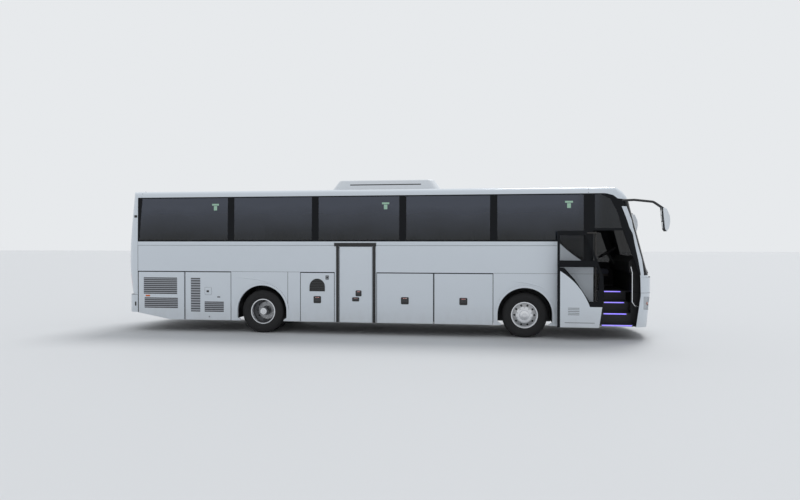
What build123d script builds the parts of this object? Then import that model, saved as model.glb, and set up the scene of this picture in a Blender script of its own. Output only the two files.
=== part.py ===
from build123d import *
from math import asin, atan2, cos, degrees, pi, radians, sin, sqrt
import os

# A coach bus with a high floor, luggage bays under it, a swing-plug door at the front and one amidships.
# Millimetres. X runs forward, Y to the coach's left, Z up from the road.

# Main sizes
wheelbase = 6080
front_overhang = 2869
rear_overhang = 3472
body_width = 2550
wall = 50
skirt_z = 290
seam_z = 1448
belt_z = 2156
roof_z = 3364
roof_crown = 20
roof_edge_r = 149
tumblehome = 25
cabin_floor_z = 1260
floor_thickness = 58
panel_gap = 6
seat_gap = 0.3

# Outer ends of the mirrors, which set the middle of the whole length
mirror_reach = 3007
mirror_y = 1400
mirror_width = 230

front_axle_x = (wheelbase + rear_overhang - mirror_reach) / 2
rear_axle_x = front_axle_x - wheelbase
nose_x = front_axle_x + front_overhang
tail_x = rear_axle_x - rear_overhang
half_width = body_width / 2
cant_z = roof_z - roof_edge_r
RIGHT, LEFT = -1, 1

# Crowned front: the plan radii, and how far each level lies behind the foremost point
front_crown_r = 3800
front_corner_r = 280
mask_split_z = 1037
screen_foot_z = 1370
front_foot_back = 72
screen_foot_back = 31
screen_rake = 0.26
dome_r = 500
dome_top_angle = 12

# Crowned rear, the same way
rear_crown_r = 9000
rear_corner_r = 220
rear_bumper_top_z = 879
rear_bumper_low_z = 452
# height, distance ahead of the rearmost point
lid_hinge_r = 7.7
rear_levels = ((rear_bumper_top_z, 78), (1507, 8), (belt_z, 18), (2780, 70), (roof_z + 40, 133))
bumper_back = 20

# Seams between the body's panels
front_roof_seam_x = front_axle_x + 1379
front_seam_x = front_axle_x + 1473
rear_roof_seam_x = tail_x + 442
rear_seam_x = tail_x + 354

# Side windows
sill_height = 34
rail_height = 25
pillar_width = 160
first_pillar_x = rear_axle_x - 764
last_pillar_x = front_axle_x - 687
pillar_count = 4
rear_pane_margin = 30
rear_pane_slant = 80
front_pane_end_x = front_axle_x + 1269
swoosh_start_x = front_axle_x + 715
swoosh_mid = (front_axle_x + 1080, 1835)
swoosh_end_z = 1590
glass_inset = 3
glass_thickness = 8

# Wheels and arches
tyre_r = 505
tyre_width = 298
rim_r = 286
axle_z = tyre_r
front_wheel_y = 1040
rear_wheel_y = 1080
twin_pitch = 335
arch_r = 600
arch_rise = 20
housing_thickness = 18
housing_gap = 12

# Luggage bays and the side openings below the seam
engine_door_front_x = rear_axle_x - 1920
service_door_front_x = rear_axle_x - 754
bay_flap_rear_x = rear_axle_x + 927
mid_door_rear_x = rear_axle_x + 1864
mid_door_front_x = rear_axle_x + 2640
mid_door_top_z = 2046
door_bar = 74
door_bar_margin = 36
front_arch_seam_x = front_axle_x - 691
tail_skirt_z = 441
tail_skirt_x = tail_x + 363
skirt_knee_x = tail_x + 1175
flap_thickness = 45

# Front doorway, its swing-plug leaf and the arms that carry it
door_gap = 10
door_thickness = 45
door_top_z = 2399
door_edge = ((2100, 2439), (2462, 1400), (2474, 985), (2376, 290))
door_open_back = 800
door_open_out = 205
door_arm_r = 425
door_column_r = 20
door_tube_r = 16

# Entry steps
first_tread_z = 334
step_rise = 229
tread_depth = 270
step_count = 4


def station(distance):
    """A place along the coach, given by its distance ahead of the front axle."""
    return front_axle_x + distance


def side_y(z):
    """Half the body's width at a height: upright to the belt, leaning in above it."""
    lean = max(0, z - belt_z) / (roof_z - belt_z)
    return half_width - tumblehome * lean


def write(piece, name):
    """Label a finished piece and write its STEP file."""
    piece.part.label = name
    export_step(piece.part, f"parts/{name}.step")


def end_outline(end_x, back_x, facing, inset, crown_r, corner_r):
    """Plan outline of a crowned end with rounded corners, from its tip to a flat back."""
    reach = crown_r - corner_r
    corner_y = half_width - corner_r
    drop = sqrt(reach**2 - corner_y**2)
    centre_x = end_x - facing * crown_r
    corner_x = centre_x + facing * drop
    edge_y = half_width - inset
    crown, small = crown_r - inset, corner_r - inset
    meet_x = centre_x + facing * crown * drop / reach
    meet_y = crown * corner_y / reach
    middle = (asin(corner_y / reach) + pi / 2) / 2
    bend_x = corner_x + facing * small * cos(middle)
    bend_y = corner_y + small * sin(middle)
    with BuildLine() as rim:
        Polyline((corner_x, edge_y), (back_x, edge_y), (back_x, -edge_y), (corner_x, -edge_y))
        ThreePointArc((corner_x, -edge_y), (bend_x, -bend_y), (meet_x, -meet_y))
        ThreePointArc((meet_x, -meet_y), (end_x - facing * inset, 0), (meet_x, meet_y))
        ThreePointArc((meet_x, meet_y), (bend_x, bend_y), (corner_x, edge_y))
    make_face(rim.edges())


def section_outline(inset, low_z):
    """Cross-section of the body: upright sides, leaning windows, round roof edges, crowned roof."""
    spring_y = side_y(cant_z) - inset
    centre_y = side_y(cant_z) - roof_edge_r
    small = roof_edge_r - inset
    bend = small * sin(pi / 4)
    top_z = cant_z + small
    low_y = half_width - inset
    with BuildLine() as rim:
        Polyline((-spring_y, cant_z), (-low_y, belt_z), (-low_y, low_z), (low_y, low_z),
                 (low_y, belt_z), (spring_y, cant_z))
        ThreePointArc((spring_y, cant_z), (centre_y + bend, cant_z + bend), (centre_y, top_z))
        ThreePointArc((centre_y, top_z), (0, top_z + roof_crown), (-centre_y, top_z))
        ThreePointArc((-centre_y, top_z), (-centre_y - bend, cant_z + bend), (-spring_y, cant_z))
    make_face(rim.edges())


def screen_x(z):
    """Foremost point of the raked windscreen at a height."""
    return nose_x - screen_foot_back - screen_rake * (z - screen_foot_z)


screen_angle = 90 - degrees(atan2(screen_rake, 1))
dome_centre_z = roof_z + roof_crown - dome_r * cos(radians(dome_top_angle))
dome_foot_z = dome_centre_z + dome_r * cos(radians(screen_angle))
dome_centre_x = screen_x(dome_foot_z) - dome_r * sin(radians(screen_angle))
dome_steps = 3


def front_block(inset):
    """The solid front end above the windscreen's foot: raked screen, then the dome up to the roof."""
    small = dome_r - inset
    back_x = front_roof_seam_x - 100
    angles = [screen_angle - (screen_angle - dome_top_angle) * i / dome_steps for i in range(dome_steps + 1)]
    levels = [(dome_centre_x + small * sin(radians(a)) + inset, dome_centre_z + small * cos(radians(a)))
              for a in angles]
    foot = (nose_x - screen_foot_back, screen_foot_z)
    with BuildPart() as block:
        for end_x, z in (foot, levels[0]):
            with BuildSketch(Plane.XY.offset(z)):
                end_outline(end_x, back_x, 1, inset, front_crown_r, front_corner_r)
        loft(ruled=True)
        for end_x, z in levels:
            with BuildSketch(Plane.XY.offset(z)):
                end_outline(end_x, back_x, 1, inset, front_crown_r, front_corner_r)
        loft()
        with BuildSketch(Plane.YZ.offset(front_roof_seam_x)):
            section_outline(inset, skirt_z)
        extrude(amount=front_overhang, mode=Mode.INTERSECT)
    return block.part


def front_low_block(inset, low_z=skirt_z, high_z=screen_foot_z):
    """The solid front end below the windscreen."""
    middle_share = (mask_split_z - low_z) / (mask_split_z - skirt_z)
    levels = ((low_z, front_foot_back * middle_share), (mask_split_z, 0), (high_z, 0))
    with BuildPart() as block:
        for z, back in levels:
            with BuildSketch(Plane.XY.offset(z)):
                end_outline(nose_x - back, front_seam_x, 1, inset, front_crown_r, front_corner_r)
        loft(ruled=True)
    return block.part


def rear_block(inset):
    """The solid rear end above the bumper, swelling gently from the lamps to the roof."""
    with BuildPart() as block:
        for z, ahead in rear_levels:
            with BuildSketch(Plane.XY.offset(z)):
                end_outline(tail_x + ahead, rear_roof_seam_x + 100, -1, inset, rear_crown_r, rear_corner_r)
        loft()
        with BuildSketch(Plane.YZ.offset(rear_roof_seam_x)):
            section_outline(inset, skirt_z)
        extrude(amount=-rear_overhang, mode=Mode.INTERSECT)
    return block.part


def rear_low_block(inset):
    """The solid rear bumper."""
    with BuildPart() as block:
        for z in (rear_bumper_low_z, rear_bumper_top_z - panel_gap):
            with BuildSketch(Plane.XY.offset(z)):
                end_outline(tail_x + bumper_back, rear_seam_x, -1, inset, rear_crown_r, rear_corner_r)
        loft(ruled=True)
    return block.part


def side_strip(side, x_from, x_to, z_from, z_to, inset, thickness):
    """Add a strip of side wall between two stations and two heights, in by inset from the skin."""
    heights = [z_from] + ([belt_z] if z_from < belt_z < z_to else []) + [z_to]
    outer = [(side * (side_y(z) - inset), z) for z in heights]
    inner = [(side * (side_y(z) - inset - thickness), z) for z in reversed(heights)]
    with BuildSketch(Plane.YZ.offset(x_from)) as profile:
        with BuildLine():
            Polyline(*outer, *inner, close=True)
        make_face()
    extrude(profile.sketch, amount=x_to - x_from)


def outside_plane(side):
    """A plane just outside a side of the body, its own X forward and its own Y up."""
    return Plane.XZ.offset(-side * (half_width + wall))


def cut_side(side, sketch, mode=Mode.SUBTRACT, depth=3 * wall):
    """Cut a sketch on outside_plane inward, through the side of the body."""
    extrude(sketch.sketch, amount=side * depth, mode=mode)


def outline(*points):
    """A face with straight edges."""
    with BuildLine() as rim:
        Polyline(*points, close=True)
    make_face(rim.edges())


def box(low, high, mode=Mode.ADD):
    """A block between two opposite corners."""
    size = [b - a for a, b in zip(low, high)]
    middle = tuple((a + b) / 2 for a, b in zip(low, high))
    with Locations(middle):
        Box(*size, mode=mode)


front_skin, front_core = front_block(0), front_block(wall)
low_skin, low_core = front_low_block(0), front_low_block(wall)
rear_skin, rear_core = rear_block(0), rear_block(wall)

# Side window openings: one outline for each pane, between the black pillars
sill_z = belt_z + sill_height
head_z = cant_z - rail_height
pillar_pitch = (last_pillar_x - first_pillar_x) / (pillar_count - 1)
pillars = [first_pillar_x + i * pillar_pitch for i in range(pillar_count)]
half_pillar = pillar_width / 2


def pane(index, gap):
    """Draw the outline of one side window, smaller all round by a gap."""
    low, high = sill_z + gap, head_z - gap
    if index == 0:
        rear_x = rear_seam_x + rear_pane_margin + gap
        end_x = pillars[0] - half_pillar - gap
        outline((rear_x, low), (end_x, low), (end_x, high), (rear_x + rear_pane_slant, high))
    elif index < pillar_count:
        start_x = pillars[index - 1] + half_pillar + gap
        end_x = pillars[index] - half_pillar - gap
        outline((start_x, low), (end_x, low), (end_x, high), (start_x, high))
    else:
        start_x = pillars[-1] + half_pillar + gap
        end_x = front_pane_end_x - gap
        rise = sill_height + gap
        foot = (swoosh_start_x + rise / 2, low)
        middle = (swoosh_mid[0] + rise / 2, swoosh_mid[1] + rise / 2)
        slope = (swoosh_mid[1] - swoosh_end_z) / (front_seam_x - swoosh_mid[0])
        end_z = swoosh_end_z + (front_seam_x - front_pane_end_x) * slope + rise
        with BuildLine() as rim:
            Polyline((end_x, end_z), (end_x, high), (start_x, high), (start_x, low), foot)
            ThreePointArc(foot, middle, (end_x, end_z))
        make_face(rim.edges())


pane_count = pillar_count + 1

# Flap and door openings below the seam: name, rear edge, front edge
flap_middle_x = (mid_door_front_x + door_bar + front_arch_seam_x) / 2
right_flaps = (
    ("engine_door_right", rear_seam_x, engine_door_front_x),
    ("service_door_right", engine_door_front_x, service_door_front_x),
    ("luggage_flap_right_1", bay_flap_rear_x, mid_door_rear_x - door_bar - door_bar_margin),
    ("luggage_flap_right_2", mid_door_front_x + door_bar + door_bar_margin / 2, flap_middle_x),
    ("luggage_flap_right_3", flap_middle_x, front_arch_seam_x),
)
bay_pitch = (front_arch_seam_x - bay_flap_rear_x) / 3
left_flaps = (
    ("engine_door_left", rear_seam_x, engine_door_front_x),
    ("service_door_left", engine_door_front_x, service_door_front_x),
    ("luggage_flap_left_1", bay_flap_rear_x, bay_flap_rear_x + bay_pitch),
    ("luggage_flap_left_2", bay_flap_rear_x + bay_pitch, bay_flap_rear_x + 2 * bay_pitch),
    ("luggage_flap_left_3", bay_flap_rear_x + 2 * bay_pitch, front_arch_seam_x),
)


def skirt_slant(side):
    """Cut the skirt away where it rises towards the tail."""
    with BuildSketch(outside_plane(side)) as cut:
        outline((tail_skirt_x, skirt_z - wall), (skirt_knee_x, skirt_z - wall), (skirt_knee_x, skirt_z),
                (tail_skirt_x, tail_skirt_z), (tail_skirt_x - 2 * wall, tail_skirt_z),
                (tail_skirt_x - 2 * wall, skirt_z - wall))
    cut_side(side, cut)


def arch_outline(centre_x, radius, low_z):
    """A round wheel arch with upright legs."""
    centre_z = axle_z + arch_rise
    with BuildLine() as rim:
        Polyline((centre_x - radius, centre_z), (centre_x - radius, low_z), (centre_x + radius, low_z),
                 (centre_x + radius, centre_z))
        ThreePointArc((centre_x + radius, centre_z), (centre_x, centre_z + radius),
                      (centre_x - radius, centre_z))
    make_face(rim.edges())


def side_wall(side, flaps):
    """One whole side of the body, from the rear corner to the front doorway's rear post."""
    with BuildPart() as piece:
        side_strip(side, rear_seam_x, front_seam_x, skirt_z, cant_z, 0, wall)
        for index in range(pane_count):
            with BuildSketch(outside_plane(side)) as cut:
                pane(index, 0)
            cut_side(side, cut)
        for name, rear_x, front_x in flaps:
            with BuildSketch(outside_plane(side)) as cut:
                outline((rear_x, skirt_z - wall), (front_x, skirt_z - wall), (front_x, seam_z), (rear_x, seam_z))
            cut_side(side, cut)
        if side == RIGHT:
            with BuildSketch(outside_plane(side)) as cut:
                outline((mid_door_rear_x, skirt_z - wall), (mid_door_front_x, skirt_z - wall),
                        (mid_door_front_x, mid_door_top_z), (mid_door_rear_x, mid_door_top_z))
            cut_side(side, cut)
        for axle_x in (front_axle_x, rear_axle_x):
            with BuildSketch(outside_plane(side)) as cut:
                arch_outline(axle_x, arch_r, skirt_z - wall)
            cut_side(side, cut)
        skirt_slant(side)
    return piece


side_wall_right = side_wall(RIGHT, right_flaps)
write(side_wall_right, "side_wall_right")
side_wall_left = side_wall(LEFT, left_flaps)
write(side_wall_left, "side_wall_left")


flap_hinge_r = panel_gap - seat_gap


def flap(side, rear_x, front_x):
    """A side panel, a gap smaller than its opening, with a long hinge barrel along its top edge."""
    with BuildPart() as piece:
        side_strip(side, rear_x + panel_gap, front_x - panel_gap, skirt_z, seam_z - panel_gap, 0, flap_thickness)
        skirt_slant(side)
        with BuildSketch(Plane.YZ.offset(rear_x + panel_gap)):
            with Locations((side * (half_width - flap_hinge_r), seam_z - panel_gap)):
                Circle(flap_hinge_r)
        extrude(amount=front_x - rear_x - 2 * panel_gap)
    return piece


for side, flaps in ((RIGHT, right_flaps), (LEFT, left_flaps)):
    for name, rear_x, front_x in flaps:
        panel = flap(side, rear_x, front_x)
        write(panel, name)

# Roof: the crowned skin between the two seams, with two emergency hatches
hatch_places = (("roof_hatch_rear", rear_axle_x + 620), ("roof_hatch_front", station(370)))
hatch_length = 700
hatch_width = 620
hatch_rim = 40
hatch_top_z = roof_z + roof_crown + 24

with BuildPart() as roof_skin:
    with BuildSketch(Plane.YZ.offset(rear_roof_seam_x)):
        section_outline(0, skirt_z)
    extrude(amount=front_roof_seam_x - rear_roof_seam_x)
    with BuildSketch(Plane.YZ.offset(rear_roof_seam_x)):
        section_outline(wall, skirt_z)
    extrude(amount=front_roof_seam_x - rear_roof_seam_x, mode=Mode.SUBTRACT)
    box((rear_roof_seam_x, -body_width, 0), (front_roof_seam_x, body_width, cant_z), Mode.SUBTRACT)
    for name, middle_x in hatch_places:
        with Locations((middle_x, 0, roof_z)):
            Box(hatch_length, hatch_width, 4 * wall, mode=Mode.SUBTRACT)
write(roof_skin, "roof_skin")

for name, middle_x in hatch_places:
    with BuildPart() as roof_hatch:
        with BuildSketch(Plane.XY.offset(roof_z + roof_crown + seat_gap)):
            with Locations((middle_x, 0)):
                RectangleRounded(hatch_length + 2 * hatch_rim, hatch_width + 2 * hatch_rim, hatch_rim)
        extrude(amount=hatch_top_z - roof_z - roof_crown - seat_gap, taper=20)
    write(roof_hatch, name)

# Air conditioner on the roof: a long low cover with drawn-in ends and a groove along each flank
cooler_rear_x = station(-4523)
cooler_front_x = station(-1908)
cooler_half_width = 860
cooler_base_z = roof_z + roof_crown - 12
cooler_top_z = 3618
cooler_end_slope = 170
cooler_edge_r = 60

with BuildPart() as air_conditioner:
    cooler_middle = ((cooler_rear_x + cooler_front_x) / 2, 0)
    with BuildSketch(Plane.XY.offset(cooler_base_z)):
        with Locations(cooler_middle):
            RectangleRounded(cooler_front_x - cooler_rear_x, 2 * cooler_half_width, 3 * cooler_edge_r)
    with BuildSketch(Plane.XY.offset(cooler_top_z)):
        with Locations(cooler_middle):
            RectangleRounded(cooler_front_x - cooler_rear_x - 2 * cooler_end_slope,
                             2 * cooler_half_width - cooler_end_slope, 3 * cooler_edge_r)
    loft(ruled=True)
    fillet(air_conditioner.faces().sort_by(Axis.Z)[-1].edges(), cooler_edge_r)
    with BuildSketch(Plane.YZ.offset(rear_roof_seam_x)):
        section_outline(-seat_gap, skirt_z)
    extrude(amount=front_roof_seam_x - rear_roof_seam_x, mode=Mode.SUBTRACT)
write(air_conditioner, "air_conditioner")

# Front cap: dome, windscreen pillars and the frames of the corner windows, all one moulding
screen_half_width = 1120
screen_low_z = screen_foot_z + 40
screen_high_z = 2985
screen_corner_r = 90
screen_glass = 10
corner_window = ((1505, 2452), (2072, 2452), (2030, 2620), (1985, 2800), (1830, 3090), (1640, head_z), (1505, head_z))
driver_window = ((1505, 1640), (2335, 1640), (2110, 2300), (2085, 2392), (1505, 2392))


def doorway_outline(grow):
    """The front doorway in side view: upright rear edge, raked front edge that follows the pillar."""
    rear_x = front_seam_x + grow
    points = [(station(x) - grow, z) for x, z in door_edge]
    outline((rear_x, skirt_z - wall + grow), (rear_x, door_top_z - grow),
            (points[0][0], door_top_z - grow), *points[1:-1],
            (points[-1][0], skirt_z + grow), (points[-1][0], skirt_z - wall + grow))


def station_outline(points, gap=0):
    """A closed outline whose points are given ahead of the front axle, grown by a gap."""
    outline(*[(station(x), z) for x, z in points])
    if gap:
        offset(amount=gap, kind=Kind.INTERSECTION)


def screen_outline(gap):
    """The windscreen in front view."""
    middle_z = (screen_low_z + screen_high_z) / 2
    with Locations((0, middle_z)):
        RectangleRounded(2 * (screen_half_width - gap), screen_high_z - screen_low_z - 2 * gap,
                         screen_corner_r - gap)


with BuildPart() as front_cap:
    add(front_skin)
    add(front_core, mode=Mode.SUBTRACT)
    box((front_roof_seam_x - 2 * wall, -body_width, 0), (front_seam_x, body_width, cant_z), Mode.SUBTRACT)
    with BuildSketch(Plane.YZ.offset(front_seam_x + 500)):
        screen_outline(0)
    extrude(amount=front_overhang, mode=Mode.SUBTRACT)
    with BuildSketch(outside_plane(RIGHT)) as cut:
        doorway_outline(0)
    cut_side(RIGHT, cut)
    with BuildSketch(outside_plane(LEFT)) as cut:
        station_outline(driver_window)
    cut_side(LEFT, cut)
    for side in (RIGHT, LEFT):
        with BuildSketch(outside_plane(side)) as cut:
            station_outline(corner_window)
        cut_side(side, cut)
write(front_cap, "front_cap")

with BuildPart() as windscreen:
    add(front_block(glass_inset))
    add(front_block(glass_inset + screen_glass), mode=Mode.SUBTRACT)
    with BuildSketch(Plane.YZ.offset(front_seam_x + 500)):
        screen_outline(seat_gap)
    extrude(amount=front_overhang, mode=Mode.INTERSECT)
write(windscreen, "windscreen")

# Front mask under the windscreen, and the bumper under that, with the head lamps let into both corners
lamp_low_z = 640
lamp_high_z = 960
lamp_inner_y = 700
lamp_depth = 36


def lamp_outline(gap):
    """Both head lamps in front view."""
    for side in (RIGHT, LEFT):
        outline((side * (lamp_inner_y + gap), lamp_low_z + 90 + gap), (side * (lamp_inner_y + 60), lamp_low_z + gap),
                (side * half_width, lamp_low_z + 40 + gap), (side * half_width, lamp_high_z - gap),
                (side * (lamp_inner_y + 110), lamp_high_z - 50 - gap))


def front_panel(low_z, high_z):
    """A ring of front panel between two heights, open at the doorway."""
    with BuildPart() as piece:
        add(low_skin)
        add(low_core, mode=Mode.SUBTRACT)
        box((0, -body_width, low_z), (nose_x + wall, body_width, high_z), Mode.INTERSECT)
        with BuildSketch(outside_plane(RIGHT)) as cut:
            doorway_outline(0)
        cut_side(RIGHT, cut, depth=4 * wall)
    return piece


front_mask = front_panel(mask_split_z + panel_gap / 2, screen_foot_z - seat_gap)
write(front_mask, "front_mask")

lamp_from_x = nose_x - 330
with BuildPart() as front_bumper:
    add(front_panel(skirt_z, mask_split_z - panel_gap / 2).part)
    with BuildPart(mode=Mode.PRIVATE) as lamp_pocket:
        add(front_low_block(-wall))
        add(front_low_block(lamp_depth + seat_gap), mode=Mode.SUBTRACT)
        with BuildSketch(Plane.YZ.offset(lamp_from_x - seat_gap)):
            lamp_outline(0)
        extrude(amount=front_overhang, mode=Mode.INTERSECT)
    add(lamp_pocket.part, mode=Mode.SUBTRACT)
write(front_bumper, "front_bumper")

with BuildPart() as head_lamps:
    add(front_low_block(1))
    add(front_low_block(lamp_depth), mode=Mode.SUBTRACT)
    with BuildSketch(Plane.YZ.offset(lamp_from_x)):
        lamp_outline(seat_gap)
    extrude(amount=front_overhang, mode=Mode.INTERSECT)
write(head_lamps, "head_lamps")

# Rear end: cap with its window and engine lid, bumper, tail lamps let into the corners
rear_window_half_width = 930
rear_window_low_z = 2230
rear_window_high_z = 3060
lid_half_width = 780
lid_gap = lid_hinge_r + seat_gap
lid_hinge_y = 150
lid_hinge_length = 120
lid_low_z = rear_bumper_top_z + 30
lid_high_z = 1560
tail_lamp_inner_y = 900
tail_lamp_outer_y = 1215
tail_lamp_low_z = 985
tail_lamp_high_z = 1420


def rear_outline(half, low_z, high_z, radius, gap=0):
    """A rounded opening in rear view."""
    with Locations((0, (low_z + high_z) / 2)):
        RectangleRounded(2 * (half - gap), high_z - low_z - 2 * gap, radius - gap)


def tail_lamp_outline(gap):
    """Both tail lamps in rear view."""
    middle_y = (tail_lamp_inner_y + tail_lamp_outer_y) / 2
    with Locations(*[(side * middle_y, (tail_lamp_low_z + tail_lamp_high_z) / 2) for side in (RIGHT, LEFT)]):
        RectangleRounded(tail_lamp_outer_y - tail_lamp_inner_y - 2 * gap,
                         tail_lamp_high_z - tail_lamp_low_z - 2 * gap, 50 - gap)


rear_cut_x = tail_x + 300
with BuildPart() as tail_lamps:
    add(rear_block(1))
    add(rear_block(lamp_depth), mode=Mode.SUBTRACT)
    with BuildSketch(Plane.YZ.offset(rear_cut_x)):
        tail_lamp_outline(seat_gap)
    extrude(amount=-rear_overhang, mode=Mode.INTERSECT)
write(tail_lamps, "tail_lamps")

with BuildPart() as tail_pocket:
    add(rear_block(-wall))
    add(rear_block(lamp_depth + seat_gap), mode=Mode.SUBTRACT)
    with BuildSketch(Plane.YZ.offset(rear_cut_x + seat_gap)):
        tail_lamp_outline(0)
    extrude(amount=-rear_overhang, mode=Mode.INTERSECT)

with BuildPart() as rear_cap:
    add(rear_skin)
    add(rear_core, mode=Mode.SUBTRACT)
    box((rear_seam_x, -body_width, 0), (rear_roof_seam_x + 2 * wall, body_width, cant_z), Mode.SUBTRACT)
    with BuildSketch(Plane.YZ.offset(rear_cut_x)):
        rear_outline(rear_window_half_width, rear_window_low_z, rear_window_high_z, 80)
        rear_outline(lid_half_width, lid_low_z, lid_high_z, 40)
    extrude(amount=-rear_overhang, mode=Mode.SUBTRACT)
    add(tail_pocket.part, mode=Mode.SUBTRACT)
write(rear_cap, "rear_cap")

with BuildPart() as rear_lid:
    add(rear_skin)
    add(rear_block(flap_thickness), mode=Mode.SUBTRACT)
    with BuildSketch(Plane.YZ.offset(rear_cut_x)):
        rear_outline(lid_half_width, lid_low_z, lid_high_z, 40, lid_gap)
    extrude(amount=-rear_overhang, mode=Mode.INTERSECT)
    for side in (RIGHT, LEFT):
        with BuildSketch(Plane.XZ.offset(-side * lid_hinge_y)):
            with Locations((tail_x + lid_hinge_r, lid_high_z - lid_gap)):
                Circle(lid_hinge_r)
        extrude(amount=lid_hinge_length / 2, both=True)
write(rear_lid, "rear_lid")

with BuildPart() as rear_bumper:
    add(rear_low_block(0))
    add(rear_low_block(wall), mode=Mode.SUBTRACT)
write(rear_bumper, "rear_bumper")

# All bonded side glass and the rear window, on one node as separate sheets
with BuildPart() as body_glass:
    for side in (RIGHT, LEFT):
        for index in range(pane_count):
            with BuildPart(mode=Mode.PRIVATE) as sheet:
                side_strip(side, rear_seam_x, front_seam_x, belt_z, cant_z, glass_inset, glass_thickness)
                with BuildSketch(outside_plane(side)) as cut:
                    pane(index, seat_gap)
                cut_side(side, cut, Mode.INTERSECT)
            add(sheet.part)
    for side, points in ((RIGHT, corner_window), (LEFT, corner_window), (LEFT, driver_window)):
        with BuildPart(mode=Mode.PRIVATE) as sheet:
            side_strip(side, front_seam_x, nose_x, seam_z, cant_z, glass_inset, glass_thickness)
            with BuildSketch(outside_plane(side)) as cut:
                station_outline(points, -seat_gap)
            cut_side(side, cut, Mode.INTERSECT)
        add(sheet.part)
    with BuildPart(mode=Mode.PRIVATE) as sheet:
        add(rear_block(glass_inset))
        add(rear_block(glass_inset + glass_thickness), mode=Mode.SUBTRACT)
        with BuildSketch(Plane.YZ.offset(rear_cut_x)):
            rear_outline(rear_window_half_width, rear_window_low_z, rear_window_high_z, 80, seat_gap)
        extrude(amount=-rear_overhang, mode=Mode.INTERSECT)
    add(sheet.part)
write(body_glass, "body_glass")

# Floor of the cabin, the lower cab floor at the driver, and the steps at both doors
inner_y = half_width - wall
cab_floor_z = first_tread_z + (step_count - 1) * step_rise
cab_floor_rear_x = front_seam_x + 10
cab_floor_front_x = nose_x - 300
step_front_x = station(2335)
tread_thickness = 30
landing_y = -inner_y + (step_count - 1) * tread_depth
floor_top = cabin_floor_z
floor_low = cabin_floor_z - floor_thickness
stair_y = -inner_y + step_count * tread_depth
mid_stair_rear_x = mid_door_rear_x - 20
mid_stair_front_x = mid_door_front_x + 20

with BuildPart() as cabin_floor:
    box((rear_seam_x, -inner_y + seat_gap, floor_low), (front_seam_x, inner_y - seat_gap, floor_top))
    box((mid_stair_rear_x, -body_width, 0), (mid_stair_front_x, stair_y, roof_z), Mode.SUBTRACT)
write(cabin_floor, "cabin_floor")

with BuildPart() as cab_floor:
    box((cab_floor_rear_x, landing_y, cab_floor_z - tread_thickness), (cab_floor_front_x, inner_y, cab_floor_z))
    box((front_seam_x, landing_y, cab_floor_z - tread_thickness), (cab_floor_rear_x, inner_y, floor_top))
    add(front_low_block(wall + seat_gap, high_z=floor_top), mode=Mode.INTERSECT)
write(cab_floor, "cab_floor")


def stair(rear_x, front_x, rise, count):
    """Treads and risers that climb inward from the right side."""
    with BuildPart() as piece:
        for i in range(count):
            outer_y = -inner_y + i * tread_depth
            top_z = first_tread_z + i * rise
            skin = seat_gap if i == 0 else 0
            box((rear_x, outer_y + skin, top_z - tread_thickness), (front_x, outer_y + tread_depth, top_z))
            box((rear_x, outer_y + tread_depth - tread_thickness, top_z - tread_thickness),
                (front_x, outer_y + tread_depth, top_z + rise))
    return piece


mid_rise = (floor_top - first_tread_z) / step_count
with BuildPart() as entry_steps:
    add(stair(cab_floor_rear_x, step_front_x, step_rise, step_count - 1).part)
    add(stair(mid_stair_rear_x + seat_gap, mid_stair_front_x - seat_gap, mid_rise, step_count).part)
write(entry_steps, "entry_steps")

# Frame below the floor: two rails with cross members, broken by the luggage bay between the axles
rail_inner_y = 460
rail_outer_y = 540
rail_low_z = 600
rail_top_z = 750
cross_width = 90
bay_rear_x = rear_axle_x + arch_r + 2 * housing_thickness + 12
bay_front_x = front_axle_x - arch_r - 2 * housing_thickness - 12
bay_floor_z = 330
bay_floor_thickness = 40
bulkhead_thickness = 24
bumper_crown_x = tail_x + bumper_back + rear_crown_r
rail_rear_x = bumper_crown_x - sqrt((rear_crown_r - wall) ** 2 - rail_outer_y**2) + seat_gap
rail_front_x = nose_x - 330

with BuildPart() as chassis_rails:
    for rear_x, front_x, crossings in (
        (rail_rear_x, bay_rear_x, (rear_axle_x - 700, rear_axle_x + 380)),
        (bay_front_x, rail_front_x, (front_axle_x - 420, front_axle_x + 420, front_axle_x + 1250)),
    ):
        for side in (RIGHT, LEFT):
            inner, outer = sorted((side * rail_inner_y, side * rail_outer_y))
            box((rear_x, inner, rail_low_z), (front_x, outer, rail_top_z))
        for cross_x in crossings:
            box((cross_x - cross_width / 2, -rail_outer_y, rail_top_z - cross_width),
                (cross_x + cross_width / 2, rail_outer_y, rail_top_z))
        # posts that carry the cabin floor on the rails
        for post_x in crossings:
            for side in (RIGHT, LEFT):
                inner, outer = sorted((side * rail_inner_y, side * rail_outer_y))
                if post_x < cab_floor_rear_x - cross_width or side == LEFT:
                    box((post_x - cross_width / 2, inner, rail_top_z), (post_x + cross_width / 2, outer, floor_low))
write(chassis_rails, "chassis_rails")

with BuildPart() as luggage_bay:
    box((bay_rear_x, -inner_y, bay_floor_z), (bay_front_x, inner_y, bay_floor_z + bay_floor_thickness))
    bulkheads = (bay_rear_x, bay_front_x - bulkhead_thickness,
                 mid_stair_rear_x - bulkhead_thickness, mid_stair_front_x)
    for bulkhead_x in bulkheads:
        box((bulkhead_x, -inner_y, bay_floor_z), (bulkhead_x + bulkhead_thickness, inner_y, floor_low))
    # the stairwell has a back wall, so the bays reach across behind it
    box((mid_stair_rear_x, stair_y, bay_floor_z), (mid_stair_front_x, stair_y + bulkhead_thickness, floor_low))
    box((mid_stair_rear_x, -body_width, 0), (mid_stair_front_x, stair_y, floor_low), Mode.SUBTRACT)
    for bulkhead_x in bulkheads[2:]:
        box((bulkhead_x, stair_y + bulkhead_thickness, bay_floor_z + bay_floor_thickness),
            (bulkhead_x + bulkhead_thickness, inner_y, floor_low), Mode.SUBTRACT)
write(luggage_bay, "luggage_bay")

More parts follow.
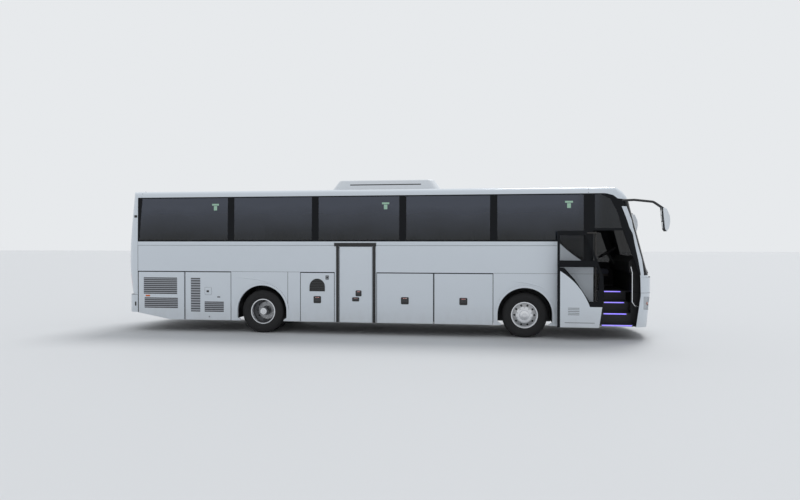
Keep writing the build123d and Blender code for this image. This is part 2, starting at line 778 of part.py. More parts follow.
# Wheel housings: a round tunnel over each wheel, closed inboard above the rails
housing_r = arch_r + housing_gap
housing_inner_y = 560
housing_top_wall_z = rail_top_z + 10

with BuildPart() as wheel_housings:
    for axle_x in (front_axle_x, rear_axle_x):
        for side in (RIGHT, LEFT):
            with BuildPart(mode=Mode.PRIVATE) as tunnel:
                with BuildSketch(Plane.XZ.offset(-side * housing_inner_y)):
                    arch_outline(axle_x, housing_r + housing_thickness, skirt_z + wall)
                    with BuildSketch(mode=Mode.SUBTRACT):
                        arch_outline(axle_x, housing_r, skirt_z)
                extrude(amount=-side * (inner_y - seat_gap - housing_inner_y))
                with BuildSketch(Plane.XZ.offset(-side * housing_inner_y)):
                    arch_outline(axle_x, housing_r + housing_thickness, skirt_z + wall)
                extrude(amount=-side * housing_thickness)
                near, far = sorted((side * housing_inner_y, side * (housing_inner_y + housing_thickness)))
                box((axle_x - 2 * arch_r, near, 0), (axle_x + 2 * arch_r, far, housing_top_wall_z), Mode.SUBTRACT)
            add(tunnel.part)
write(wheel_housings, "wheel_housings")

# Engine behind the rear axle, one plain block of its real place and size, on mounts from the rails
engine_rear_x = tail_x + 330
engine_length = 1450
engine_half_width = 400
engine_low_z = 430
engine_top_z = 1130
with BuildPart() as engine_block:
    box((engine_rear_x, -engine_half_width, engine_low_z),
        (engine_rear_x + engine_length, engine_half_width, engine_top_z))
    for mount_x in (engine_rear_x + 250, engine_rear_x + engine_length - 250):
        box((mount_x - 60, -rail_inner_y, rail_low_z + 30), (mount_x + 60, rail_inner_y, rail_top_z - 30))
write(engine_block, "engine_block")

# Front axle: a beam with a boss at each end for the kingpin, and an air spring under each rail
kingpin_y = 860
boss_r = 62
boss_low_z = axle_z - 70
boss_top_z = axle_z + 70
beam_low_z = axle_z - 55
beam_top_z = axle_z + 45
beam_half = 50
spring_r = 72
kingpin_r = 24
pin_clearance = 0.05

with BuildPart() as front_axle:
    box((front_axle_x - beam_half, -kingpin_y, beam_low_z), (front_axle_x + beam_half, kingpin_y, beam_top_z))
    for side in (RIGHT, LEFT):
        with BuildSketch(Plane.XY.offset(boss_low_z)):
            with Locations((front_axle_x, side * kingpin_y)):
                Circle(boss_r)
        extrude(amount=boss_top_z - boss_low_z)
        with BuildSketch(Plane.XY.offset(beam_low_z)):
            with Locations((front_axle_x, side * (rail_inner_y + rail_outer_y) / 2)):
                Circle(spring_r)
        extrude(amount=rail_low_z - beam_low_z)
        with BuildSketch(Plane.XY.offset(boss_low_z)):
            with Locations((front_axle_x, side * kingpin_y)):
                Circle(kingpin_r + pin_clearance)
        extrude(amount=boss_top_z - boss_low_z, mode=Mode.SUBTRACT)
write(front_axle, "front_axle")

# Steering knuckles: a fork over each boss with its kingpin, the wheel spindle and a steering arm
fork_r = 66
fork_thickness = 40
fork_gap = 6
fork_web = 34
spindle_r = 48
spindle_end_y = 1168
hub_bore_r = spindle_r + pin_clearance
steer_limit = 38


def knuckle(side):
    """One knuckle, made on the left and mirrored by its sign."""
    web_y = kingpin_y + boss_r + fork_gap
    low_z = boss_low_z - fork_gap - fork_thickness
    top_z = boss_top_z + fork_gap + fork_thickness
    with BuildPart() as piece:
        for z in (low_z, top_z - fork_thickness):
            with BuildSketch(Plane.XY.offset(z)):
                with Locations((front_axle_x, side * kingpin_y)):
                    Circle(fork_r)
                with Locations((front_axle_x, side * (kingpin_y + (boss_r + fork_gap + fork_web) / 2))):
                    Rectangle(2 * fork_r, boss_r + fork_gap + fork_web)
            extrude(amount=fork_thickness)
        near, far = sorted((side * web_y, side * (web_y + fork_web)))
        box((front_axle_x - fork_r, near, low_z), (front_axle_x + fork_r, far, top_z))
        with BuildSketch(Plane.XY.offset(low_z)):
            with Locations((front_axle_x, side * kingpin_y)):
                Circle(kingpin_r)
        extrude(amount=top_z - low_z)
        with BuildSketch(Plane.XZ.offset(-side * web_y)):
            with Locations((front_axle_x, axle_z)):
                Circle(spindle_r)
        extrude(amount=-side * (spindle_end_y - web_y))
        near, far = sorted((side * (kingpin_y - 30), side * (kingpin_y + 30)))
        box((front_axle_x - 230, near, low_z), (front_axle_x - fork_r + 20, far, low_z + fork_thickness))
    return piece


knuckle_right = knuckle(RIGHT)
write(knuckle_right, "knuckle_right")
knuckle_left = knuckle(LEFT)
write(knuckle_left, "knuckle_left")

# Rear axle: tube, round differential housing and an air spring under each rail
tube_r = 75
differential_r = 195
differential_length = 300
rear_spring_r = 95
rear_spindle_r = 60
rear_spindle_from_y = 600
rear_spindle_end_y = 1150
rear_bore_r = rear_spindle_r + pin_clearance

with BuildPart() as rear_axle:
    with BuildSketch(Plane.XZ.offset(-rear_spindle_from_y)):
        with Locations((rear_axle_x, axle_z)):
            Circle(tube_r)
    extrude(amount=2 * rear_spindle_from_y)
    with BuildSketch(Plane.XZ.offset(-rear_spindle_end_y)):
        with Locations((rear_axle_x, axle_z)):
            Circle(rear_spindle_r)
    extrude(amount=2 * rear_spindle_end_y)
    with BuildSketch(Plane.YZ.offset(rear_axle_x - differential_length / 2)):
        with Locations((0, axle_z)):
            Circle(differential_r)
    extrude(amount=differential_length)
    for side in (RIGHT, LEFT):
        with BuildSketch(Plane.XY.offset(axle_z)):
            with Locations((rear_axle_x, side * (rail_inner_y + rail_outer_y) / 2)):
                Circle(rear_spring_r)
        extrude(amount=rail_low_z - axle_z)
write(rear_axle, "rear_axle")

# Wheels: tyres and rims, turned about their axles; the rear ones are twins on one hub
rim_gap = 0.3
rim_wall = 12
rim_width = 232
flange_r = rim_r + 14
disc_thickness = 16
bead_half = 112
shoulder_r = 478
tread_half = 122
disc_r = 170
hub_r = 110


def lathe(points, axle_x, side, middle_y):
    """Turn a closed outline of (distance outboard of the wheel's middle, radius) about an axle."""
    with BuildPart() as piece:
        with BuildSketch(Plane.YZ.offset(axle_x)) as profile:
            outline(*[(side * (middle_y + out), axle_z + r) for out, r in points])
        revolve(profile.sketch, axis=Axis((axle_x, 0, axle_z), (0, 1, 0)))
    return piece


tyre_points = (
    (-bead_half, rim_r + rim_gap), (bead_half, rim_r + rim_gap), (bead_half, flange_r + 1),
    (bead_half + 8, flange_r + 16),
    (tyre_width / 2, 400), (tyre_width / 2 - 6, 445), (tread_half + 6, shoulder_r + 6), (tread_half - 8, tyre_r - 4),
    (tread_half - 40, tyre_r), (40 - tread_half, tyre_r), (8 - tread_half, tyre_r - 4),
    (-tread_half - 6, shoulder_r + 6), (6 - tyre_width / 2, 445), (-tyre_width / 2, 400),
    (-bead_half - 8, flange_r + 16), (-bead_half, flange_r + 1),
)


def barrel_points(half, inner_r):
    """Half-outline of a rim's barrel from its inboard flange to its outboard one."""
    return ((-half, inner_r), (-half, flange_r), (-half + 6, flange_r), (-half + 6, rim_r),
            (half - 6, rim_r), (half - 6, flange_r), (half, flange_r), (half, inner_r))


rim_half = bead_half + 6.5
inner_rim_r = rim_r - rim_wall


def front_wheel(side):
    """A front rim: barrel, a disc that bulges outboard, and the hub cover over the spindle's end."""
    disc_y = rim_half - 40
    points = (*barrel_points(rim_half, inner_rim_r)[:7], (rim_half, inner_rim_r), (disc_y - 10, inner_rim_r),
              (disc_y + 10, disc_r), (disc_y + 12, hub_r), (disc_y + 55, hub_r - 10), (disc_y + 62, hub_r - 60),
              (disc_y + 62, 0), (disc_y + 54, 0), (disc_y + 54, hub_bore_r), (disc_y - 120, hub_bore_r),
              (disc_y - 120, hub_r), (disc_y - disc_thickness, hub_r), (disc_y - disc_thickness, disc_r),
              (disc_y - disc_thickness - 30, inner_rim_r), (-rim_half, inner_rim_r))
    return lathe(points[1:-1] + ((-rim_half, inner_rim_r),), front_axle_x, side, front_wheel_y)


def rear_wheel(side):
    """Twin rear rims: two barrels whose discs meet between the tyres, with a long hub through the outer one."""
    with BuildPart() as piece:
        half_pitch = twin_pitch / 2
        outer = [(half_pitch + out, r) for out, r in barrel_points(rim_half, inner_rim_r)]
        add(lathe(outer, rear_axle_x, side, rear_wheel_y - half_pitch).part)
        inner = [(-half_pitch + out, r) for out, r in barrel_points(rim_half, inner_rim_r)]
        add(lathe(inner, rear_axle_x, side, rear_wheel_y - half_pitch).part)
        dish = half_pitch - rim_half
        disc = ((-disc_thickness, hub_r), (disc_thickness, hub_r), (disc_thickness, disc_r + 40),
                (dish + 40, inner_rim_r + 1), (-dish - 40, inner_rim_r + 1), (-disc_thickness, disc_r + 40))
        add(lathe(disc, rear_axle_x, side, rear_wheel_y - half_pitch).part)
        hub = ((-150, rear_bore_r), (rear_spindle_end_y - rear_wheel_y + half_pitch + 8, rear_bore_r),
               (rear_spindle_end_y - rear_wheel_y + half_pitch + 8, 0),
               (rear_spindle_end_y - rear_wheel_y + half_pitch + 20, 0),
               (rear_spindle_end_y - rear_wheel_y + half_pitch + 20, hub_r - 34),
               (150, hub_r - 20), (disc_thickness + 40, hub_r), (-disc_thickness - 40, hub_r), (-150, hub_r - 20))
        add(lathe(hub, rear_axle_x, side, rear_wheel_y - half_pitch).part)
    return piece


for side, word in ((RIGHT, "right"), (LEFT, "left")):
    front_tyre = lathe(tyre_points, front_axle_x, side, front_wheel_y)
    write(front_tyre, f"front_tyre_{word}")
    front_rim = front_wheel(side)
    write(front_rim, f"front_rim_{word}")
    with BuildPart() as rear_tyres:
        add(lathe(tyre_points, rear_axle_x, side, rear_wheel_y).part)
        add(lathe(tyre_points, rear_axle_x, side, rear_wheel_y - twin_pitch).part)
    write(rear_tyres, f"rear_tyres_{word}")
    rear_rims = rear_wheel(side)
    write(rear_rims, f"rear_rims_{word}")

# Swing-plug doors: a leaf that stays upright, carried by two bent arms on a turning column
door_arm_heights = (455, 2342)
mid_arm_heights = (455, 1900)
arm_clearance = 8
door_pivot_inside = 90
door_pin_r = 20
lug_gap = 2
lug_span = 34
lug_half = 34
arm_bend_r = 45
pivot_gap = 0.1
leaf_header = 90


def column_offset(back, out, arm_r):
    """How far the closed pivot lies outboard of the column, so that the arm's arc ends open as asked."""
    chord = sqrt(back**2 + out**2)
    stand = sqrt(arm_r**2 - chord**2 / 4)
    return (-out / 2 + stand * back / chord, -back / 2 - stand * out / chord)


def arm_points(back, out, arm_r, column_y, opened):
    """The bent arm in plan, from the column at (0, 0) round the door post to the leaf's pivot."""
    rise, run = column_offset(back, out, arm_r)
    closed = (-run, -rise)
    end = (closed[0] - back, closed[1] - out)
    knee = (arm_clearance, -(half_width + door_tube_r + arm_clearance) - column_y)
    points = [(0, 0), knee, (end[0], end[1])]
    if opened:
        return points
    turn = atan2(closed[1], closed[0]) - atan2(end[1], end[0])
    return [(x * cos(turn) - y * sin(turn), x * sin(turn) + y * cos(turn)) for x, y in points]


def plug_arm(column_x, column_y, back, out, arm_r, heights, opened, low_z, high_z):
    """The column with its two arms, and a pivot pin at each arm's end."""
    points = arm_points(back, out, arm_r, column_y, opened)
    with BuildPart() as piece:
        with BuildSketch(Plane.XY.offset(low_z)):
            with Locations((column_x, column_y)):
                Circle(door_column_r)
        extrude(amount=high_z - low_z)
        for z in heights:
            with BuildLine() as route:
                bend = FilletPolyline(*[(column_x + x, column_y + y, z) for x, y in points], radius=arm_bend_r)
            with BuildSketch(Plane(origin=bend @ 0, z_dir=bend % 0)) as tube:
                Circle(door_tube_r)
            sweep(tube.sketch, path=route.line)
            with BuildSketch(Plane.XY.offset(z - lug_span)):
                with Locations((column_x + points[-1][0], column_y + points[-1][1])):
                    Circle(door_pin_r)
            extrude(amount=2 * lug_span)
    return piece


def leaf_lugs(leaf_x, pivot_y, heights):
    """Two ears at each arm, fixed to the leaf's inner face, with the arm's pin through them."""
    outer_y = -half_width + door_thickness - 1
    for z in heights:
        for low_z in (z - lug_span, z + door_tube_r + lug_gap):
            box((leaf_x - lug_half, outer_y, low_z),
                (leaf_x + lug_half, pivot_y + lug_half, low_z + lug_span - door_tube_r - lug_gap))
        with Locations((leaf_x, pivot_y, z)):
            Cylinder(door_pin_r + pivot_gap, 2 * lug_span, mode=Mode.SUBTRACT)


# Front door: stands open, moved back and out along the body
front_leaf_x = station(1958)
rise, run = column_offset(door_open_back, door_open_out, door_arm_r)
front_column_x = front_leaf_x + run
front_pivot_y = -(half_width - door_pivot_inside)
front_column_y = front_pivot_y + rise

front_door_arm = plug_arm(front_column_x, front_column_y, door_open_back, door_open_out, door_arm_r,
                          door_arm_heights, True, first_tread_z + seat_gap, door_top_z - 20)
write(front_door_arm, "front_door_arm")

mid_door_back = 640
mid_arm_r = 372
mid_leaf_x = (mid_door_rear_x + mid_door_front_x) / 2 + 60
rise, run = column_offset(mid_door_back, door_open_out, mid_arm_r)
mid_column_x = mid_leaf_x + run
mid_pivot_y = -(half_width - door_pivot_inside)
mid_column_y = mid_pivot_y + rise
mid_door_arm = plug_arm(mid_column_x, mid_column_y, mid_door_back, door_open_out, mid_arm_r,
                        mid_arm_heights, False, first_tread_z + seat_gap, mid_door_top_z - 20)
write(mid_door_arm, "mid_door_arm")

# The front leaf: a glazed black frame over a white lower panel, its glass edge swooping down forward
leaf_shift = (-door_open_back, -door_open_out)
glass_border = 52
glass_bar_low_z = 1599
glass_bar_high_z = 1744
leaf_glass_curve = ((1625, 1590), (1850, 1330), (2060, 1010), (2161, 850))
leaf_glass_end = (2330, 850)


def closed_leaf_strip():
    """The front leaf's thickness, flush with the body, cut to the doorway's outline."""
    side_strip(RIGHT, front_seam_x, nose_x, skirt_z, door_top_z, 0, door_thickness)
    with BuildSketch(outside_plane(RIGHT)) as cut:
        doorway_outline(door_gap)
    cut_side(RIGHT, cut, Mode.INTERSECT)


def leaf_pane(gap):
    """The two panes of the front leaf in side view, above and below the bar."""
    rear_x = front_seam_x + door_gap + glass_border + gap
    top_z = door_top_z - door_gap - leaf_header - gap
    front = [(station(x) - door_gap - glass_border - gap, z) for x, z in door_edge[:2]]
    slope = (front[1][0] - front[0][0]) / (front[1][1] - front[0][1])

    def edge_x(z):
        return front[0][0] + slope * (z - front[0][1])

    low, high = glass_bar_low_z - gap, glass_bar_high_z + gap
    outline((rear_x, high), (edge_x(high), high), (edge_x(top_z), top_z), (rear_x, top_z))
    curve = [(station(x) + gap, z + gap) for x, z in leaf_glass_curve]
    end = (station(leaf_glass_end[0]) - gap, leaf_glass_end[1] + gap)
    outline((rear_x, low), (rear_x, curve[0][1]), *curve, end, (edge_x(1400) - 20, 1400), (edge_x(low), low))


with BuildPart() as closed_leaf:
    closed_leaf_strip()
    with BuildSketch(outside_plane(RIGHT)) as cut:
        leaf_pane(0)
    cut_side(RIGHT, cut)
    leaf_lugs(front_leaf_x, front_pivot_y, door_arm_heights)

with BuildPart() as front_door:
    with Locations((*leaf_shift, 0)):
        add(closed_leaf.part)
write(front_door, "front_door")

with BuildPart() as closed_glass:
    side_strip(RIGHT, front_seam_x, nose_x, skirt_z, door_top_z, glass_inset, glass_thickness)
    with BuildSketch(outside_plane(RIGHT)) as cut:
        leaf_pane(seat_gap)
    cut_side(RIGHT, cut, Mode.INTERSECT)
with BuildPart() as front_door_glass:
    with Locations((*leaf_shift, 0)):
        add(closed_glass.part)
write(front_door_glass, "front_door_glass")

# The door amidships: a plain white leaf, shut
with BuildPart() as mid_door:
    side_strip(RIGHT, mid_door_rear_x + door_gap, mid_door_front_x - door_gap, skirt_z,
               mid_door_top_z - door_gap, 0, door_thickness)
    leaf_lugs(mid_leaf_x, mid_pivot_y, mid_arm_heights)
write(mid_door, "mid_door")

# Mirrors: an arm from each dome corner forward, and a tall head that hangs from it
mirror_head = ((2860, 2880), (2935, 2850), (3000, 2700), (mirror_reach, 2576), (2985, 2440), (2939, 2372),
               (2905, 2420), (2890, 2560), (2872, 2720))
mirror_arm = ((1990, 3052), (2330, 3060), (2700, 3010), (2900, 2860))
mirror_arm_root_y = 1215
mirror_arm_r = 26

with BuildPart() as mirrors:
    for side in (RIGHT, LEFT):
        with BuildPart(mode=Mode.PRIVATE) as head:
            with BuildSketch(Plane.XZ.offset(-side * (mirror_y - mirror_width / 2))):
                outline(*[(station(x), z) for x, z in mirror_head])
            extrude(amount=-side * mirror_width)
        add(head.part)
        shares = (0, 0.35, 0.8, 1)
        route_points = [(station(x), side * (mirror_arm_root_y + (mirror_y - mirror_arm_root_y) * share), z)
                        for share, (x, z) in zip(shares, mirror_arm)]
        with BuildLine() as route:
            bend = FilletPolyline(*route_points, radius=120)
        with BuildSketch(Plane(origin=bend @ 0, z_dir=bend % 0)) as tube:
            Circle(mirror_arm_r)
        sweep(tube.sketch, path=route.line)
    add(front_block(-seat_gap), mode=Mode.SUBTRACT)
write(mirrors, "mirrors")

# Seats: a plain closed form for each pair, on the cabin floor
seat_pitch = 780
seat_pair_width = 880
seat_wall_gap = 12
cushion_height = 430
cushion_length = 440
cushion_thickness = 140
back_height = 1180
back_thickness = 110
back_rake = 130
pedestal_width = 90
first_seat_x = rear_seam_x + 330
last_seat_x = front_seam_x - 260
row_count = int((last_seat_x - first_seat_x - cushion_length) // seat_pitch) + 1


def seat_outline(x):
    """A seat in side view, facing forward, from the floor to the head."""
    z = floor_top + seat_gap
    seat_z = z + cushion_height
    outline((x + 150, z), (x + 150 + pedestal_width, z), (x + 150 + pedestal_width, seat_z - cushion_thickness),
            (x + back_thickness + cushion_length, seat_z - cushion_thickness + 30),
            (x + back_thickness + cushion_length, seat_z), (x + back_thickness, seat_z - 20),
            (x + back_thickness - back_rake, z + back_height), (x - back_rake, z + back_height),
            (x, seat_z - cushion_thickness), (x + 150, seat_z - cushion_thickness))


with BuildPart() as passenger_seats:
    for row in range(row_count):
        seat_x = first_seat_x + row * seat_pitch
        for side in (RIGHT, LEFT):
            over_stairs = (seat_x + cushion_length + back_thickness > mid_stair_rear_x - 20
                           and seat_x < mid_stair_front_x + 20)
            if side == RIGHT and over_stairs:
                continue
            with BuildPart(mode=Mode.PRIVATE) as pair:
                with BuildSketch(Plane.XZ.offset(-side * (inner_y - seat_wall_gap - seat_pair_width))):
                    seat_outline(seat_x)
                extrude(amount=-side * seat_pair_width)
            add(pair.part)
write(passenger_seats, "passenger_seats")

# Driver's place: seat, dashboard with the steering column, and the steering wheel
driver_y = 660
driver_seat_x = station(1560)
with BuildPart() as driver_seat:
    z = cab_floor_z + seat_gap
    with BuildSketch(Plane.XZ.offset(-(driver_y - 260))):
        outline((driver_seat_x + 120, z), (driver_seat_x + 480, z), (driver_seat_x + 440, z + 320),
                (driver_seat_x + 600, z + 340), (driver_seat_x + 600, z + 480), (driver_seat_x + 120, z + 460),
                (driver_seat_x + 10, z + 1230), (driver_seat_x - 70, z + 1230), (driver_seat_x, z + 320),
                (driver_seat_x + 160, z + 320))
    extrude(amount=-520)
write(driver_seat, "driver_seat")

dash_rear_x = station(2290)
dash_low_y = -930
wheel_tilt = 32
wheel_middle = (station(2130), driver_y, 1890)
wheel_r = 225
rim_tube_r = 15
column_r = 32
column_length = 430
hub_depth = 40

with BuildPart() as dashboard:
    with BuildSketch(Plane.XZ.offset(-dash_low_y)):
        outline((dash_rear_x + 90, cab_floor_z + seat_gap), (nose_x, cab_floor_z + seat_gap), (nose_x, 1800),
                (dash_rear_x + 160, 1830), (dash_rear_x, 1700), (dash_rear_x + 20, 1480), (dash_rear_x + 90, 1400))
    extrude(amount=-(inner_y - dash_low_y))
    add(front_low_block(wall + 8, high_z=2000), mode=Mode.INTERSECT)
    with BuildPart(mode=Mode.PRIVATE) as below_screen:
        box((0, -body_width, 0), (nose_x, body_width, screen_foot_z))
        add(front_block(wall + 8))
    add(below_screen.part, mode=Mode.INTERSECT)
    with BuildSketch(outside_plane(LEFT)) as cut:
        station_outline(((1505, 1560), (2400, 1560), (2200, 2300), (1505, 2392)))
    cut_side(LEFT, cut, depth=2 * wall + 20)
    column_plane = Plane(origin=wheel_middle, z_dir=(sin(radians(wheel_tilt)), 0, -cos(radians(wheel_tilt))))
    with BuildSketch(column_plane.offset(hub_depth + seat_gap)) as tube:
        Circle(column_r)
    extrude(tube.sketch, amount=column_length)
write(dashboard, "dashboard")

with BuildPart() as steering_wheel:
    with BuildSketch(Plane(origin=wheel_middle, x_dir=(0, 1, 0), z_dir=(cos(radians(wheel_tilt)), 0, sin(radians(wheel_tilt))))) as ring:
        with Locations((wheel_r, 0)):
            Circle(rim_tube_r)
    wheel_axis = Axis(wheel_middle, (sin(radians(wheel_tilt)), 0, -cos(radians(wheel_tilt))))
    revolve(ring.sketch, axis=wheel_axis)
    with BuildSketch(column_plane.offset(hub_depth / 4)) as hub:
        Circle(60)
    extrude(hub.sketch, amount=3 * hub_depth / 4)
    with BuildSketch(column_plane.offset(-4)) as spokes:
        Rectangle(34, 2 * wheel_r)
        Rectangle(2 * wheel_r, 34)
    extrude(spokes.sketch, amount=16)
write(steering_wheel, "steering_wheel")

# Overhead luggage racks along both sides of the cabin
rack_low_z = 2830
rack_depth = 360
rack_thickness = 60
rack_lip = 90
with BuildPart() as luggage_racks:
    for side in (RIGHT, LEFT):
        wall_y = side_y(rack_low_z + rack_lip) - wall - seat_gap
        with BuildSketch(Plane.YZ.offset(first_seat_x)) as profile:
            outline(*[(side * y, z) for y, z in (
                (wall_y, rack_low_z + 40), (wall_y, rack_low_z + 40 + rack_thickness),
                (wall_y - rack_depth + 50, rack_low_z + rack_thickness),
                (wall_y - rack_depth, rack_low_z + rack_lip), (wall_y - rack_depth - 20, rack_low_z + rack_lip - 20),
                (wall_y - rack_depth, rack_low_z))])
        extrude(profile.sketch, amount=last_seat_x - first_seat_x)
write(luggage_racks, "luggage_racks")

# Handrail ahead of the front steps, from the dashboard's end down to the inside of the front panel
rail_tube_r = 16
rail_y = -1120
rail_points = ((2370, dash_low_y - seat_gap, 1640), (2300, rail_y, 1600), (2330, rail_y, 1470), (2330, rail_y, 830),
               (2390, rail_y, 740), (2700, rail_y, 740))
with BuildPart() as handrails:
    with BuildLine() as route:
        bend = FilletPolyline(*[(station(x), y, z) for x, y, z in rail_points], radius=40)
    with BuildSketch(Plane(origin=bend @ 0, z_dir=bend % 0)) as tube:
        Circle(rail_tube_r)
    sweep(tube.sketch, path=route.line)
    box((front_seam_x, -body_width, 0), (nose_x, dash_low_y - seat_gap, roof_z), Mode.INTERSECT)
    add(front_low_block(wall + seat_gap, high_z=1800), mode=Mode.INTERSECT)
write(handrails, "handrails")
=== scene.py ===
from math import cos, pi, radians, sin, sqrt

import bmesh
import bpy
from mathutils import Matrix, Vector
from mathutils.bvhtree import BVHTree


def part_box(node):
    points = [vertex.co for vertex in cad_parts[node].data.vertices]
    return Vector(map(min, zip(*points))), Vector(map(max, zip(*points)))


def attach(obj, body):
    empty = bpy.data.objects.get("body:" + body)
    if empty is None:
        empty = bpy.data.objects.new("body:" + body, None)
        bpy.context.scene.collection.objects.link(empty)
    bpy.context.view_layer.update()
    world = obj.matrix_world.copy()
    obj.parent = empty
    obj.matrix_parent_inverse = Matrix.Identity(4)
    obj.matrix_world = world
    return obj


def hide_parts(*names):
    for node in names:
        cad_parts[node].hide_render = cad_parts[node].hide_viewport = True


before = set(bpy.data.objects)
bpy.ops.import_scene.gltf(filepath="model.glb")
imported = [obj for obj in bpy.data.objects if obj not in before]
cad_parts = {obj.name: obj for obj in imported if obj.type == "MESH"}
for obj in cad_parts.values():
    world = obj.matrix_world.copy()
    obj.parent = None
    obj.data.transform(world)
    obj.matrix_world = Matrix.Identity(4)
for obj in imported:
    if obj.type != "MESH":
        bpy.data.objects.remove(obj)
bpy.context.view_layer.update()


# Photographer's place
# The coach is seen from its right side, a little ahead of its middle, from eye height, before a pale
# backdrop. Soft light comes from all round, and a wide lamp hangs above.
scene = bpy.context.scene
axle_low, axle_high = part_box("front_axle")
front_axle_x = (axle_low.x + axle_high.x) / 2
camera_place = Vector((front_axle_x - 0.9115, -15.296, 2.1025))
camera_yaw, camera_pitch, camera_roll = 0.1339, -0.0099, -0.0005
camera_lens, sensor_width = 27.9, 36.0

forward = Vector((-sin(camera_yaw) * cos(camera_pitch), cos(camera_yaw) * cos(camera_pitch),
                  sin(camera_pitch)))
right = Vector((cos(camera_yaw), sin(camera_yaw), 0))
turned_right = Matrix.Rotation(camera_roll, 3, forward) @ right
turned_up = turned_right.cross(forward)
camera = bpy.data.objects.new("camera", bpy.data.cameras.new("camera"))
camera.data.lens, camera.data.sensor_width = camera_lens, sensor_width
camera.matrix_world = Matrix((turned_right, turned_up, -forward)).transposed().to_4x4()
camera.location = camera_place
scene.collection.objects.link(camera)
scene.camera = camera
scene.view_settings.view_transform = "Standard"

backdrop_colour, soft_light, soft_strength = (0.80, 0.82, 0.84, 1), (0.93, 0.96, 1.0, 1), 0.72
lamp_power, lamp_spread, lamp_tilt = 1.5, radians(25), (radians(-28), radians(14), 0)
sky = bpy.data.worlds.new("studio")
scene.world = sky
sky.use_nodes = True
sky_nodes, sky_links = sky.node_tree.nodes, sky.node_tree.links
sky_nodes.clear()
seen = sky_nodes.new("ShaderNodeBackground")
seen.inputs["Color"].default_value = backdrop_colour
light = sky_nodes.new("ShaderNodeBackground")
light.inputs["Color"].default_value = soft_light
light.inputs["Strength"].default_value = soft_strength
path = sky_nodes.new("ShaderNodeLightPath")
chosen = sky_nodes.new("ShaderNodeMixShader")
sky_out = sky_nodes.new("ShaderNodeOutputWorld")
sees_pale = path.outputs["Is Camera Ray"]
for kind in ("Is Transmission Ray", "Is Glossy Ray"):
    either = sky_nodes.new("ShaderNodeMath")
    either.operation = "MAXIMUM"
    sky_links.new(sees_pale, either.inputs[0])
    sky_links.new(path.outputs[kind], either.inputs[1])
    sees_pale = either.outputs[0]
sky_links.new(sees_pale, chosen.inputs[0])
sky_links.new(light.outputs[0], chosen.inputs[1])
sky_links.new(seen.outputs[0], chosen.inputs[2])
sky_links.new(chosen.outputs[0], sky_out.inputs[0])

lamp = bpy.data.objects.new("lamp_above", bpy.data.lights.new("lamp_above", "SUN"))
lamp.data.energy, lamp.data.angle = lamp_power, lamp_spread
lamp.rotation_euler = lamp_tilt
scene.collection.objects.link(lamp)


# White painted panels
# Steel and moulded panels under a gloss white coat: side walls, roof, both end caps, flaps and doors. The
# window belt, the door surround and the upper part of the front door are painted gloss black.
class Wire:
    """One output of a shader node, which can be used in sums like a number."""

    def __init__(self, finish, socket):
        self.finish, self.socket = finish, socket

    def sum(self, operation, first, second=0.0):
        return self.finish.node("ShaderNodeMath", {"operation": operation}, {0: first, 1: second})

    def __add__(self, other):
        return self.sum("ADD", self, other)

    def __radd__(self, other):
        return self.sum("ADD", other, self)

    def __sub__(self, other):
        return self.sum("SUBTRACT", self, other)

    def __rsub__(self, other):
        return self.sum("SUBTRACT", other, self)

    def __mul__(self, other):
        return self.sum("MULTIPLY", self, other)

    def __rmul__(self, other):
        return self.sum("MULTIPLY", other, self)

    def __lt__(self, other):
        return self.sum("LESS_THAN", self, other)

    def __gt__(self, other):
        return self.sum("GREATER_THAN", self, other)

    def __or__(self, other):
        return self.sum("MAXIMUM", self, other)

    def __and__(self, other):
        return self.sum("MULTIPLY", self, other)


class Finish:
    """A surface finish: one shader whose sockets take numbers or wires."""

    def __init__(self, name):
        self.material = bpy.data.materials.new(name)
        self.material.use_nodes = True
        self.tree = self.material.node_tree
        self.shader = self.tree.nodes["Principled BSDF"]
        self.place = self.node("ShaderNodeTexCoord", output="Object")
        self.x, self.y, self.z = self.split(self.place)

    def split(self, vector):
        """The three parts of a vector."""
        return [self.node("ShaderNodeSeparateXYZ", (), {0: vector}, axis) for axis in "XYZ"]

    def node(self, kind, settings=(), sockets=(), output=0):
        """Any node: its settings first, then its sockets' values or wires."""
        made = self.tree.nodes.new(kind)
        for key, value in dict(settings).items():
            setattr(made, key, value)
        for key, value in dict(sockets).items():
            self.feed(made.inputs[key], value)
        return Wire(self, made.outputs[output])

    def feed(self, socket, value):
        if isinstance(value, Wire):
            self.tree.links.new(value.socket, socket)
        else:
            socket.default_value = value

    def run(self, value, start, end, first=0.0, last=1.0):
        """A straight run from a first number to a last one, level before its start and after its end."""
        return self.node("ShaderNodeMapRange", (), {0: value, 1: start, 2: end, 3: first, 4: last})

    def noise(self, scale, detail=2.0, stretch=(1, 1, 1)):
        """Soft noise between 0 and 1, in metres of the object."""
        place = self.node("ShaderNodeVectorMath", {"operation": "MULTIPLY"}, {0: self.place, 1: stretch})
        return self.node("ShaderNodeTexNoise", (), {"Vector": place, "Scale": scale, "Detail": detail}, "Fac")

    def blend(self, share, first, second):
        """A colour between two, by a share from 0 to 1."""
        return self.node("ShaderNodeMix", {"data_type": "RGBA"}, {0: share, 6: first, 7: second}, 2)

    def relief(self, height, strength, distance):
        """A bump from a height between 0 and 1."""
        return self.node("ShaderNodeBump", (), {"Height": height, "Strength": strength, "Distance": distance})

    def surface(self, **sockets):
        """Set the shader's own sockets, with _ for a space, and give back the material."""
        for key, value in sockets.items():
            self.feed(self.shader.inputs[key.replace("_", " ")], value)
        return self.material


def rgb(red, green, blue):
    return (red, green, blue, 1)


def dress(material, *names):
    """Give CAD nodes a finish."""
    for name in names:
        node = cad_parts[name]
        node.data.materials.clear()
        node.data.materials.append(material)


